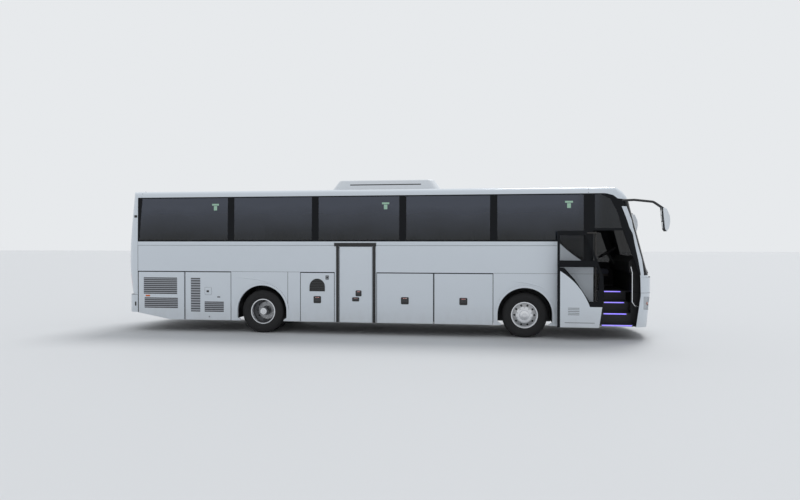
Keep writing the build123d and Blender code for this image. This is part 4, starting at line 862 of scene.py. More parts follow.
# Side lamps and socket
# An amber plastic lamp between the engine door's louvres, black lamps high on the rear corners and low in
# the bumper, and a framed black socket above the arched vent, all screwed on from outside.
amber = Finish("amber_lens")
prism = amber.noise(300, 1)
amber_lens = amber.surface(Base_Color=amber.blend(prism * 0.5, rgb(0.70, 0.14, 0.02), rgb(0.45, 0.06, 0.01)),
                           Roughness=0.12, Coat_Weight=1.0, Normal=amber.relief(prism, 0.2, 0.0006))
marker_x, corner_lamp_x = front_axle_x - 8.945, front_axle_x - 9.262
marker_half, marker_low_z, marker_high_z, marker_r = 0.055, 0.832, 0.870, 0.010
# each corner lamp: the node that it is screwed to, half length, low and high edge, corner radius, how far it
# stands out, rounding of its outer edge
corner_lamps = (("rear_cap", 0.040, 2.735, 2.793, 0.012, 0.009, 0.004),
                ("rear_bumper", 0.018, 0.602, 0.704, 0.017, 0.007, 0.003))
# the socket's frame, hole and cover: rear and front edge ahead of the front axle, low and high edge, corner
# radius
socket_sizes = ((-4.543, -4.467, 1.274, 1.368, 0.008), (-4.529, -4.481, 1.288, 1.354, 0.006),
                (-4.524, -4.486, 1.296, 1.346, 0.005))
socket_frame, socket_hole, socket_cover = [
    rounded(front_axle_x + rear, low_z, front_axle_x + ahead, high_z, radius)
    for rear, ahead, low_z, high_z, radius in socket_sizes]
for word, outward in sides:
    marker = rounded(marker_x - marker_half, marker_low_z, marker_x + marker_half, marker_high_z, marker_r)
    engine_door = laid_on(f"engine_door_{word}", outward)
    put(f"engine_door_marker_{word}", [plate(marker, -0.001, 0.010, engine_door, 0.005)], amber_lens,
        f"engine_door_{word}", "tail_lens")
    black_lamps = []
    for node, half, low_z, high_z, radius, outer, edge in corner_lamps:
        outline = rounded(corner_lamp_x - half, low_z, corner_lamp_x + half, high_z, radius)
        black_lamps.append(plate(outline, -0.004, outer, laid_on(node, outward), edge))
    put(f"corner_lamps_{word}", black_lamps, handle_black, "root", SEAL_SLOT)
socket_flap = laid_on("luggage_flap_right_1", RIGHT)
socket = [plate(socket_frame, -0.001, 0.004, socket_flap, 0.001, hole=socket_hole),
          plate(socket_cover, -0.001, 0.0015, socket_flap, 0.0005)]
put("vent_socket", socket, handle_black, "luggage_flap_right_1", SEAL_SLOT)


# Styling creases over the wheel arches
# A soft ridge is pressed into each side panel, from behind and above each arch down to its lip, and
# tapers out at both ends.
crease_steps, crease_r, crease_sunk = 24, 0.018, 0.008
# each crease's start, bend and end: station ahead of the front axle, height
crease_routes = (((-6.804, 1.315), (-6.120, 1.300), (-5.740, 1.140)),
                 ((-0.391, 1.275), (0.160, 1.265), (0.500, 1.085)))
for word, outward in sides:
    wall = laid_on(f"side_wall_{word}", outward)
    ridges = []
    for start, bend, end in crease_routes:
        points = []
        for k in range(crease_steps + 1):
            t = k / crease_steps
            ahead, z = [(1 - t) ** 2 * a + 2 * t * (1 - t) * b + t ** 2 * c
                        for a, b, c in zip(start, bend, end)]
            points.append(wall(front_axle_x + ahead, z, -crease_sunk))
        ridges.append(rod(points, crease_r, 16, taper=True))
    put(f"arch_creases_{word}", ridges, plain_paint, "root", "white_paint")


# Roof cooler and hatches
# Moulded white plastic covers on the roof, a little rougher than the paint. The cooler has an air groove
# along each side, painted dark as its shade, and, on top, eight round openings under wire guards.
cover_white, cover_shade = rgb(0.74, 0.77, 0.80), rgb(0.52, 0.54, 0.56)
dress(moulding("cooler_cover", cover_white, 0.32), "roof_hatch_front", "roof_hatch_rear")
groove_low_z, groove_high_z = 3.488, 3.514
groove_rear_x, groove_front_x = front_axle_x - 4.058, front_axle_x - 2.366
cover = Finish("cooler_shell")
fleck = cover.noise(140, 2)
# a dark band along each side of the cooler: painted shade of its air groove
groove_height = (cover.z > groove_low_z) & (cover.z < groove_high_z)
groove_shade = groove_height & (cover.x > groove_rear_x) & (cover.x < groove_front_x)
flecked = cover.blend(fleck * 0.12, cover_white, cover_shade)
groove_shaded = cover.blend(groove_shade, flecked, rgb(0.03, 0.03, 0.035))
dress(cover.surface(Base_Color=groove_shaded, Roughness=0.32 + fleck * 0.08,
                    Normal=cover.relief(fleck, 0.12, 0.001)), "air_conditioner")
cooler_low, cooler_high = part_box("air_conditioner")
TOP = Vector((0, 0, 1))
cooler_top = laid_on("air_conditioner", TOP)
fan_count, fan_end, fan_side_y, fan_sunk, fan_rings = 4, 0.55, 0.38, 0.006, (0.06, 0.11, 0.16, 0.21)
spoke_inner, spoke_outer, spoke_r = 0.03, 0.21, 0.0045
fan_guards = []
for k in range(fan_count):
    fan_x = cooler_low.x + fan_end + k * (cooler_high.x - cooler_low.x - 2 * fan_end) / (fan_count - 1)
    for fan_y in (-fan_side_y, fan_side_y):
        hub = cooler_top(fan_x, fan_y, -fan_sunk)
        for r in fan_rings:
            wire = [(0, r - 0.004), (0.0055, r - 0.003), (0.0055, r + 0.003), (0, r + 0.004)]
            fan_guards.append(turned(wire, hub, TOP))
        for n in range(6):
            along = Vector((cos(pi * n / 3), sin(pi * n / 3), 0))
            fan_guards.append(rod([hub + along * spoke_inner, hub + along * spoke_outer], spoke_r))
put("cooler_fan_guards", fan_guards, moulding("guard_wire", rgb(0.05, 0.05, 0.055), 0.5), "root", SEAL_SLOT)


# Floor of the studio
# A pale even floor that keeps the coach's shadow. It is rough enough to mirror nothing, and wide enough to
# reach the backdrop's horizon.
floor_reach = 160
ground = Finish("studio_floor")
floor_mesh = bpy.data.meshes.new("studio_floor")
floor_corners = [(x * floor_reach, y * floor_reach, 0) for x, y in ((-1, -1), (1, -1), (1, 1), (-1, 1))]
floor_mesh.from_pydata(floor_corners, [], [(0, 1, 2, 3)])
floor_mesh.materials.append(ground.surface(Base_Color=rgb(0.62, 0.63, 0.64), Roughness=0.75))
floor = bpy.data.objects.new("studio_floor", floor_mesh)
scene.collection.objects.link(floor)


# Glass
# Dark tinted safety glass in the sides and the rear, bonded flush; the windscreen and the front door's
# panes are lighter. The side panes carry a painted sky reflection towards their top. Thin shells,
# see-through by their alpha, with a hard gloss.
def tinted(name, colour, alpha):
    """Evenly tinted glass, a little smeared."""
    glass = Finish(name)
    smear = glass.noise(3, 2)
    return glass.surface(Base_Color=colour, Roughness=0.025 + smear * 0.03, Alpha=alpha,
                         Specular_IOR_Level=0.3)


def sky_reflection_glass(name):
    """Side glass with a painted sky reflection towards the top edge, but for the driver's panes."""
    glass = Finish(name)
    cloud = glass.noise(1.4, 3, (1, 1, 2))
    # painted sky reflection: the pane grows lighter, bluer and less clear towards its top
    height = glass.run(glass.z + cloud * 0.35, 2.35, 3.15)
    height = height * glass.run(glass.x, front_axle_x + 1.1, front_axle_x + 1.7, 1.0, 0.1)
    return glass.surface(Base_Color=glass.blend(height, rgb(0.006, 0.008, 0.010), rgb(0.055, 0.064, 0.088)),
                         Roughness=0.025 + cloud * 0.03, Alpha=0.80 + height * 0.12)


side_glass = sky_reflection_glass("side_glass")
dress(side_glass, "body_glass")
dress(tinted("screen_glass", rgb(0.006, 0.008, 0.009), 0.80), "windscreen")
dress(tinted("door_glass", rgb(0.005, 0.006, 0.007), 0.14), "front_door_glass")

# the foot of each front side pane, which drops below the sill along the swoosh
foot_end_x, foot_rise, foot_pieces = front_axle_x + 1.269, 0.034, 24
swoosh_slope = (swoosh_points[1][1] - swoosh_low_z) / (door_post_x - swoosh_points[1][0])
foot_x, foot_z, foot_r = circle_through(
    (swoosh_points[0][0] + foot_rise / 2, belt_z + foot_rise),
    (swoosh_points[1][0] + foot_rise / 2, swoosh_points[1][1] + foot_rise / 2),
    (foot_end_x, swoosh_low_z + (door_post_x - foot_end_x) * swoosh_slope + foot_rise))
foot_start_x = foot_x - sqrt(foot_r ** 2 - (belt_z - foot_z) ** 2)
foot_stations = [foot_start_x + (foot_end_x - foot_start_x) * k / foot_pieces for k in range(foot_pieces + 1)]
foot_edge = [(x, foot_z - sqrt(foot_r ** 2 - (x - foot_x) ** 2)) for x in foot_stations]
for word, outward in sides:
    foot = plate([*foot_edge, (foot_end_x, belt_z)], -0.011, -0.003, beside(outward), 0)
    put(f"front_pane_foot_{word}", [foot], side_glass, "root", "tinted_glass")


# Stickers on the side windows
# Small blank signs of pale green film, stuck to the outside of three panes on each side: a bar with a
# square under it.
film = Finish("pale_green_film")
film_colour = film.blend(film.noise(150, 2), rgb(0.30, 0.52, 0.38), rgb(0.42, 0.62, 0.48))
film_green = film.surface(Base_Color=film_colour, Roughness=0.4 + film.noise(60) * 0.1)
sticker_places = (-7.232, -3.136, 0.953)
# each field of a sticker: half width, low and high edge
sticker_fields = ((0.085, 3.010, 3.052), (0.040, 2.895, 3.000))
for word, outward in sides:
    glass = laid_on("body_glass", outward)
    signs = []
    for station_x in sticker_places:
        x = front_axle_x + station_x
        signs += [plate(rounded(x - half, low_z, x + half, high_z, 0.006, 3), 0.0002, 0.0010, glass, 0.0003)
                  for half, low_z, high_z in sticker_fields]
    put(f"window_stickers_{word}", signs, film_green, "root", "rack_trim")


# Black mouldings
# Grained black plastic, moulded in one piece each and screwed in: the wheel housings, the dashboard and the
# steering wheel.
black_moulding = moulding("black_moulding", rgb(0.016, 0.016, 0.018), 0.5)
dress(black_moulding, "wheel_housings", "dashboard", "steering_wheel")


# Liners in the front wheel wells
# Black moulded sheets hang under each frame rail, ahead of and behind the wheel, and keep spray off the
# frame. They are screwed to the rail and to the wheel housing.
liner_inner_y, liner_outer_y, liner_low_z, liner_high_z = 0.545, 0.557, 0.300, 0.755
liner_near, liner_far = 0.330, 0.628


def block(low, high, edge, steps=2):
    """A rounded block between two corners."""
    shape = bmesh.new()
    bmesh.ops.create_cube(shape, size=1)
    for vert in shape.verts:
        vert.co = [(a + b) / 2 + c * (b - a) for a, b, c in zip(low, high, vert.co)]
    bmesh.ops.bevel(shape, geom=shape.edges[:], offset=edge, segments=steps, affect="EDGES", profile=0.5)
    return shape


for word, outward in sides:
    low_y, high_y = sorted((outward.y * liner_inner_y, outward.y * liner_outer_y))
    liners = [block((front_axle_x + rear, low_y, liner_low_z), (front_axle_x + ahead, high_y, liner_high_z),
                    0.002, 1) for rear, ahead in ((-liner_far, -liner_near), (liner_near, liner_far))]
    put(f"front_well_liners_{word}", liners, black_moulding, "root", SEAL_SLOT)


# Mirrors
# Each head is a moulded shell in white gloss on a black arm that is bolted to the front cap, with a black
# back plate that holds a main and a wide glass.
head_rear_x, head_top_z = front_axle_x + 2.845, 2.875
shell = Finish("mirror_shell")
turn = shell.split(shell.node("ShaderNodeNewGeometry", output="Normal"))[0]
white_shell = (shell.x > head_rear_x) & (shell.z < head_top_z) & (turn > -0.6)
shell_grain = shell.noise(140, 2)
dress(shell.surface(Base_Color=shell.blend(white_shell, trim_black, rgb(0.74, 0.78, 0.82)),
                    Roughness=0.45 + shell_grain * 0.1 - white_shell * 0.2, Coat_Weight=white_shell * 0.6,
                    Normal=shell.relief(shell_grain, 0.05, 0.001)), "mirrors")
silver = Finish("mirror_glass")
silver_colour = silver.blend(silver.noise(9) * 0.2, rgb(0.82, 0.85, 0.88), rgb(0.7, 0.74, 0.78))
mirror_silver = silver.surface(Base_Color=silver_colour, Metallic=1.0,
                               Roughness=0.03 + silver.noise(5) * 0.02)
mirror_y, mirror_half, pane_heights = 1.400, 0.088, ((2.600, 2.835), (2.435, 2.575))
for word, outward in sides:
    back = laid_on("mirrors", REAR)
    y = outward.y * mirror_y
    outlines = [rounded(y - mirror_half, low_z, y + mirror_half, high_z, 0.02)
                for low_z, high_z in pane_heights]
    panes = [plate(outline, -0.001, 0.002, back, 0.0008) for outline in outlines]
    put(f"mirror_glass_{word}", panes, mirror_silver, "root", "chrome_rail")


# Floors and steps
# Dark speckled vinyl is glued over plywood on the cabin floor, the steps and the luggage bay. A violet
# light strip in an aluminium nosing is screwed along the edge of each front step, over a white sill.
flooring = Finish("floor_cover")
speckle = flooring.noise(420, 1) > 0.62
floor_colour = flooring.blend(speckle * 0.4, rgb(0.020, 0.020, 0.024), rgb(0.08, 0.08, 0.085))
dress(flooring.surface(Base_Color=floor_colour, Roughness=0.62,
                       Normal=flooring.relief(flooring.noise(300, 2), 0.2, 0.001)),
      "cabin_floor", "cab_floor", "entry_steps", "luggage_bay")
glow = Finish("step_light")
violet = glow.blend(glow.noise(25, 2), rgb(0.16, 0.11, 0.95), rgb(0.34, 0.27, 1.0))
glow_strip = glow.surface(Base_Color=rgb(0.10, 0.08, 0.4), Roughness=0.3 + glow.noise(90) * 0.1,
                          Emission_Color=violet, Emission_Strength=1.6)
nosing = Finish("step_nosing")
nosing_metal = nosing.surface(Base_Color=rgb(0.25, 0.25, 0.27), Metallic=1.0,
                              Roughness=0.35 + nosing.noise(80) * 0.15)
# each step: rear and front end of its light ahead of the front axle, height, distance of its edge from the
# coach's middle
step_lights = ((1.669, 2.300, 0.334, 1.225), (1.750, 2.234, 0.563, 0.985), (1.811, 2.240, 0.792, 0.715),
               (1.859, 2.218, 1.021, 0.445))
# below the edge of each step: foot and top of the nosing, and foot and top of the light in it
nosing_low, nosing_high, nosing_past = 0.034, 0.002, 0.02
light_low, light_high, light_r = 0.028, 0.008, 0.006
sill_y, sill_ends, sill_heights = 1.225, (1.60, 2.33), (0.292, 0.299)


def riser(out_y):
    """A way to lay flat shapes on the upright face of a step, which stands at a distance from the middle."""
    def lay(across, up, out):
        return Vector((across, -out_y - out, up))
    return lay


for number, (rear, ahead, z, out_y) in enumerate(step_lights, 1):
    start_x, end_x = front_axle_x + rear, front_axle_x + ahead
    nosing_bar = rectangle(start_x - nosing_past, z - nosing_low, end_x + nosing_past, z - nosing_high)
    light_bar = rounded(start_x, z - light_low, end_x, z - light_high, light_r, 3)
    put(f"step_nosing_{number}", [plate(nosing_bar, -0.002, 0.002, riser(out_y))], nosing_metal, "root",
        "chrome_rail")
    put(f"step_light_{number}", [plate(light_bar, 0.001, 0.005, riser(out_y), 0.002)], glow_strip, "root",
        "lamp_lens")
sill = rectangle(front_axle_x + sill_ends[0], sill_heights[0], front_axle_x + sill_ends[1], sill_heights[1])
put("door_sill", [plate(sill, -0.004, 0.004, riser(sill_y), 0.001)], plain_paint, "root", "white_paint")


# Step well lining and cab sill strip
# A black moulded panel closes the step well ahead of the steps, behind the handrail, with a pan under it.
# On the driver's side a black strip is clipped over the joint between the front panels, just above the
# floor.
lining_x = front_axle_x + 2.337
lining = block((lining_x, -0.945, 0.300), (front_axle_x + 2.560, -0.935, 1.018), 0.002, 1)
lining_pan = block((lining_x, -1.200, 0.296), (front_axle_x + 2.520, -0.930, 0.306), 0.002, 1)
sill_strip = block((front_axle_x + 1.480, 1.2135, 1.0215), (front_axle_x + 2.420, 1.2235, 1.062), 0.002, 1)
put("step_well_lining", [lining, lining_pan], black_moulding, "root", SEAL_SLOT)
put("cab_sill_strip", [sill_strip], black_moulding, "root", SEAL_SLOT)


# Frame, axles and engine
# The welded steel rails, the forged axles and the bent steel arms of the doors have black chassis paint
# with road grime on it. The engine is a bare iron casting.
steel = Finish("chassis_paint")
grime = steel.noise(14, 5)
steel_colour = steel.blend(grime * 0.6, rgb(0.025, 0.025, 0.027), rgb(0.10, 0.085, 0.07))
steel_black = steel.surface(Base_Color=steel_colour, Roughness=0.45 + grime * 0.3,
                            Normal=steel.relief(grime, 0.15, 0.002))
dress(steel_black, "chassis_rails", "front_axle", "rear_axle", "knuckle_right", "knuckle_left",
      "front_door_arm", "mid_door_arm")
iron = Finish("engine_casting")
pits = iron.noise(60, 4)
dress(iron.surface(Base_Color=iron.blend(pits, rgb(0.10, 0.10, 0.10), rgb(0.20, 0.19, 0.18)), Metallic=0.6,
                   Roughness=0.55 + pits * 0.2, Normal=iron.relief(pits, 0.3, 0.002)), "engine_block")


# Rims
# Forged aluminium disc wheels, turned and polished: brightest at the lip, darker and duller in a band
# across the disc, and dark deeper in than the dish, where the shade is painted.
wheel_z = 0.505
dull_inner_r, dull_outer_r = 0.183, 0.268
front_dish_y, rear_dish_y = 1.06, 1.10


def polished(name, axle_x, dish_y):
    """Polished alloy with a darker, dull band in the disc, and painted shade deeper in than the dish."""
    alloy = Finish(name)
    spun = alloy.noise(40, 2, (1, 8, 1))
    from_axle = (alloy.x - axle_x) * (alloy.x - axle_x) + (alloy.z - wheel_z) * (alloy.z - wheel_z)
    band = (from_axle > dull_inner_r ** 2) & (from_axle < dull_outer_r ** 2)
    # faces deeper in than the dish are darkened: painted shade of the recess
    dish_shade = alloy.y * alloy.y < dish_y ** 2
    dull_band_and_dish_shade = band * 0.55 | dish_shade * 0.6
    colour = alloy.blend(spun * 0.3, rgb(0.74, 0.75, 0.77), rgb(0.5, 0.5, 0.52))
    return alloy.surface(Base_Color=alloy.blend(dull_band_and_dish_shade, colour, rgb(0.05, 0.05, 0.052)), Metallic=1.0,
                         Roughness=0.14 + spun * 0.12 + dull_band_and_dish_shade * 0.25)


dress(polished("front_rim_metal", front_axle_x, front_dish_y), "front_rim_right", "front_rim_left")
dress(polished("rear_rim_metal", rear_axle_x, rear_dish_y), "rear_rims_right", "rear_rims_left")


# Wheel nuts and hub covers
# Ten flanged steel nuts with domed covers on each wheel, a turned cover ring with eight bolts on the hub,
# and a ring of ten round holes with turned edges in the disc, each hole a black disc of painted shade.
nut_count, nut_ring_r, bolt_count, bolt_ring_r = 10, 0.1675, 8, 0.046
hole_ring_r, hole_r = 0.222, 0.026
nut = Finish("nut_metal")
nut_metal = nut.surface(Base_Color=rgb(0.70, 0.71, 0.73), Metallic=1.0, Roughness=0.12 + nut.noise(60) * 0.1)
nut_profile = [(-0.002, 0), (-0.002, 0.021), (0.004, 0.021), (0.005, 0.0165), (0.020, 0.0160), (0.028, 0.013),
               (0.032, 0.007), (0.033, 0)]
bolt_profile = [(-0.002, 0), (-0.002, 0.006), (0.004, 0.006), (0.005, 0.004), (0.005, 0)]
ring_profile = [(-0.002, 0.020), (0.006, 0.020), (0.009, 0.026), (0.006, 0.040), (-0.002, 0.042)]
hole_profile = [(-0.001, 0), (-0.001, hole_r), (0.001, hole_r), (0.001, 0)]
hole_edge = [(-0.001, hole_r), (0.003, hole_r), (0.003, hole_r + 0.003), (-0.001, hole_r + 0.005)]


def on_rim(rim, axle_x, outward, radius, angle):
    """A place on a rim's outer face and the way the face looks, at a radius and an angle about the axle."""
    start = Vector((axle_x + radius * cos(angle), 3 * outward.y, wheel_z + radius * sin(angle)))
    return skin(rim, start, -outward)


for axle, body_stem, rim_stem, axle_x in (("front", "front_wheel", "front_rim", front_axle_x),
                                          ("rear", "rear_wheels", "rear_rims", rear_axle_x)):
    for word, outward in sides:
        face = (f"{rim_stem}_{word}", axle_x, outward)
        fittings, holes = [], []
        for k in range(nut_count):
            place, facing = on_rim(*face, hole_ring_r, 2 * pi * k / nut_count)
            holes.append(turned(hole_profile, place, facing, 20))
            fittings.append(turned(hole_edge, place, facing, 20))
            seat, _ = on_rim(*face, nut_ring_r, 2 * pi * (k + 0.5) / nut_count)
            fittings.append(turned(nut_profile, seat, outward, 12))
        hub, _ = on_rim(*face, 0, 0)
        fittings.append(turned(ring_profile, hub, outward))
        for k in range(bolt_count):
            seat, _ = on_rim(*face, bolt_ring_r, 2 * pi * k / bolt_count)
            fittings.append(turned(bolt_profile, seat, outward, 6))
        put(f"{axle}_wheel_nuts_{word}", fittings, nut_metal, f"{body_stem}_{word}", "polished_rim")
        put(f"{axle}_wheel_holes_{word}", holes, opening_shade, f"{body_stem}_{word}", SEAL_SLOT)


# Tyres
# Black radial road tyres, moulded in one piece: a ribbed tread with four grooves, cut shoulders, and
# sidewalls with raised rings. The rear ones are twins.
rubber = Finish("tyre_rubber")
wear = rubber.noise(24, 4)
rubber_colour = rubber.blend(wear * 0.4, rgb(0.007, 0.007, 0.008), rgb(0.022, 0.021, 0.020))
tyre_rubber = rubber.surface(Base_Color=rubber_colour, Roughness=0.72 + wear * 0.15,
                             Normal=rubber.relief(rubber.noise(220, 2), 0.15, 0.001))
# one sidewall, from the bead up to the shoulder: distance from the tyre's middle, radius
tyre_wall = [(0.112, 0.2866), (0.119, 0.296), (0.127, 0.312), (0.134, 0.330), (0.1385, 0.343),
             (0.1405, 0.346), (0.1405, 0.349), (0.1425, 0.360), (0.1470, 0.385), (0.1485, 0.402),
             (0.1475, 0.425), (0.1445, 0.444), (0.1435, 0.448), (0.1445, 0.450), (0.1440, 0.454),
             (0.1405, 0.459), (0.1350, 0.474), (0.1290, 0.486)]
tyre_shoulder = [(0.1210, 0.4965), (0.1120, 0.5010)]
crown_r, crown_drop, groove_depth = 0.5048, 0.0035, 0.013
groove_top_half, groove_floor_half = 0.0060, 0.0042


def tyre_profile():
    """Half-round of a road tyre, from one bead over the tread to the other."""
    tread = []
    for middle in (0.078, 0.028, -0.028, -0.078):
        crown = crown_r - crown_drop * (middle / 0.11) ** 2
        tread += [(middle + groove_top_half, crown), (middle + groove_floor_half, crown - groove_depth),
                  (middle - groove_floor_half, crown - groove_depth), (middle - groove_top_half, crown)]
    near = tyre_wall + tyre_shoulder
    return near + tread + [(-out, r) for out, r in reversed(near)]


def shoulder_cut(k, out, r):
    """Every fourth step round the tyre, the tread's shoulder is cut a little deeper."""
    return r - 0.006 if k % 4 == 0 and abs(out) > 0.1195 and r > 0.480 else r


for stem, body_stem, axle_x, middles in (("front_tyre", "front_wheel", front_axle_x, (1.040,)),
                                         ("rear_tyres", "rear_wheels", rear_axle_x, (1.080, 0.745))):
    for word, outward in sides:
        centres = [Vector((axle_x, outward.y * out_y, wheel_z)) for out_y in middles]
        tyres = [turned(tyre_profile(), centre, outward, 160, shoulder_cut) for centre in centres]
        made = put(f"{stem}_tread_{word}", tyres, tyre_rubber, f"{body_stem}_{word}", "tyre_rubber")
        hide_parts(f"{stem}_{word}")


# Handrail
# One chromed steel tube beside the front steps, bent in a bow from the end of the dashboard down to the
# inside of the front panel, where it is screwed on.
chrome = Finish("chromed_tube")
chrome_tube = chrome.surface(Base_Color=rgb(0.82, 0.83, 0.85), Metallic=1.0,
                             Roughness=0.08 + chrome.noise(30) * 0.1)
dress(chrome_tube, "handrails")


# Lamps
# Clear plastic covers over two polished head lamp bowls with bulbs and a blinker. The tail lamps are red
# plastic panels with three round lenses each, stop, blinker and reverse, in black bezels.
clear = Finish("lamp_lens")
lens_roughness = 0.05 + clear.noise(50) * 0.05
dress(clear.surface(Base_Color=rgb(0.55, 0.58, 0.60), Roughness=lens_roughness, Alpha=0.22), "head_lamps")
red = Finish("tail_lens")
red_colour = red.blend(red.noise(80) * 0.4, rgb(0.42, 0.008, 0.012), rgb(0.20, 0.004, 0.006))
red_lens = red.surface(Base_Color=red_colour, Roughness=0.08, Coat_Weight=1.0)
dress(red_lens, "tail_lamps")
bowl = Finish("lamp_reflector")
bowl_metal = bowl.surface(Base_Color=rgb(0.75, 0.77, 0.80), Metallic=1.0,
                          Roughness=0.10 + bowl.noise(60) * 0.1)
bezel_black = moulding("lamp_bezel", rgb(0.02, 0.02, 0.022), 0.4)
bowl_profile = [(0.0, 0.020), (0.002, 0.030), (0.010, 0.045), (0.024, 0.056), (0.024, 0.060), (0.0, 0.060)]
bulb_profile = [(0.0, 0), (0.0, 0.018), (0.008, 0.016), (0.013, 0.009), (0.015, 0)]
blinker_profile = [(0.0, 0), (0.0, 0.034), (0.008, 0.032), (0.013, 0.020), (0.015, 0)]
bezel_profile = [(0.0, 0.040), (0.006, 0.041), (0.008, 0.045), (0.006, 0.049), (0.0, 0.050)]
dome_profile = [(0.0, 0), (0.0, 0.040), (0.005, 0.038), (0.008, 0.025), (0.010, 0)]
head_lamp_z, beam_places, blinker_y = 0.800, (0.875, 1.010), 1.130
bowl_depth, blinker_depth, dome_depth = 0.032, 0.030, 0.002
tail_lamp_y, tail_lamp_heights = 1.057, (1.335, 1.200, 1.070)
for word, outward in sides:
    way = outward.y
    bulb_glass = moulding(f"bulb_glass_{word}", rgb(0.8, 0.82, 0.85), 0.15)
    reverse_lens = moulding(f"reverse_lens_{word}", rgb(0.7, 0.72, 0.74), 0.15)
    bowls, bulbs = [], []
    for y in beam_places:
        place, facing = skin("head_lamps", Vector((far_off, way * y, head_lamp_z)), REAR)
        bowls.append(turned(bowl_profile, place - facing * bowl_depth, facing))
        bulbs.append(turned(bulb_profile, place - facing * bowl_depth, facing, 24))
    place, facing = skin("head_lamps", Vector((far_off, way * blinker_y, head_lamp_z)), REAR)
    blinker = turned(blinker_profile, place - facing * blinker_depth, facing)
    put(f"head_lamp_bowls_{word}", bowls, bowl_metal, "root", "chrome_rail")
    put(f"head_lamp_bulbs_{word}", bulbs, bulb_glass, "root", "lamp_lens")
    put(f"head_lamp_blinker_{word}", [blinker], amber_lens, "root", "lamp_lens")
    rings, domes = [], []
    for z in tail_lamp_heights:
        place, facing = skin("tail_lamps", Vector((-far_off, way * tail_lamp_y, z)), FRONT)
        rings.append(turned(bezel_profile, place - facing * dome_depth, facing))
        domes.append(turned(dome_profile, place - facing * dome_depth, facing))
    put(f"tail_lamp_rings_{word}", rings, bezel_black, "root", SEAL_SLOT)
    lenses = (("stop", red_lens, "tail_lens"), ("blinker", amber_lens, "tail_lens"),
              ("reverse", reverse_lens, "lamp_lens"))
    for dome, (kind, lens, slot) in zip(domes, lenses):
        put(f"tail_lamp_{kind}_{word}", [dome], lens, "root", slot)


# Number plates
# Blank pale aluminium plates, clipped into black plastic holders that are screwed to the front bumper and
# to the rear lid.
blank = Finish("blank_plate")
blank_colour = blank.blend(blank.noise(40, 2) * 0.2, rgb(0.72, 0.72, 0.70), rgb(0.55, 0.55, 0.53))
blank_film = blank.surface(Base_Color=blank_colour, Roughness=0.35 + blank.noise(20) * 0.1)
plate_half, plate_height, holder_rim = 0.260, 0.110, 0.012
plate_cuts = [k * 0.04 for k in range(-6, 7)]
for end, node, body, outward, low_z in (("front", "front_bumper", "root", FRONT, 0.470),
                                        ("rear", "rear_lid", "rear_lid", REAR, 0.960)):
    lay = laid_on(node, outward)
    around = rounded(-plate_half - holder_rim, low_z - holder_rim, plate_half + holder_rim,
                     low_z + plate_height + holder_rim, 0.01)
    inside = rounded(-plate_half, low_z, plate_half, low_z + plate_height, 0.006)
    holder = plate(around, -0.001, 0.006, lay, 0.002, cuts=plate_cuts)
    sheet = plate(inside, 0.005, 0.0075, lay, 0.0008, cuts=plate_cuts)
    put(f"{end}_plate_holder", [holder], bezel_black, body, SEAL_SLOT)
    put(f"{end}_plate", [sheet], blank_film, body, "rack_trim")


# Seats
# Thirteen rows of twin seats on each side, but for two rows over the stairs of the mid door: foam under
# dark woven cloth, on painted steel legs that are bolted to the floor, with an armrest between each two.
cloth = Finish("seat_cloth")
weave = cloth.noise(600, 1)
seat_cloth = cloth.surface(Base_Color=cloth.blend(weave * 0.6, rgb(0.045, 0.05, 0.07), rgb(0.12, 0.12, 0.15)),
                           Roughness=0.85, Normal=cloth.relief(weave, 0.3, 0.001))


def evened(pad):
    """The pad's mesh with its modifiers worked out, on the pad itself."""
    mesh = bpy.data.meshes.new_from_object(pad.evaluated_get(bpy.context.evaluated_depsgraph_get()))
    pad.modifiers.clear()
    pad.data = mesh


def stuffed(name, shapes, voxel, most):
    """Foam under cloth: an even mesh, swollen by cloth simulation, with no point moved further than most."""
    mesh = bpy.data.meshes.new(name)
    whole = gather(shapes)
    whole.to_mesh(mesh)
    whole.free()
    pad = bpy.data.objects.new(name, mesh)
    scene.collection.objects.link(pad)
    remesh = pad.modifiers.new("even", "REMESH")
    remesh.mode, remesh.voxel_size = "VOXEL", voxel
    evened(pad)
    rest = [vert.co.copy() for vert in pad.data.vertices]
    swell = pad.modifiers.new("swell", "CLOTH")
    swell.settings.use_pressure = True
    swell.settings.uniform_pressure_force = 4
    swell.settings.effector_weights.gravity = 0
    for number in range(1, 21):
        scene.frame_set(number)
    evened(pad)
    for vert, start in zip(pad.data.vertices, rest):
        moved = vert.co - start
        vert.co = start + moved * min(1, most / max(moved.length, 1e-9))
    scene.frame_set(1)
    pad.data.shade_smooth()
    pad.data.name = name
    pad.data.materials.clear()
    pad.data.materials.append(seat_cloth)
    return pad


def sheared(shape, low_z, rake):
    """Lean a shape back above a height."""
    for vert in shape.verts:
        vert.co.x -= max(0, vert.co.z - low_z) * rake
    return shape


def block_from(origin, low, high, edge, steps=2):
    """A rounded block whose two corners are measured from an origin."""
    corners = [[start + reach for start, reach in zip(origin, corner)] for corner in (low, high)]
    return block(*corners, edge, steps)


def cushion(pad):
    """Let a pad ride on the body of the coach."""
    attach(pad, "root")


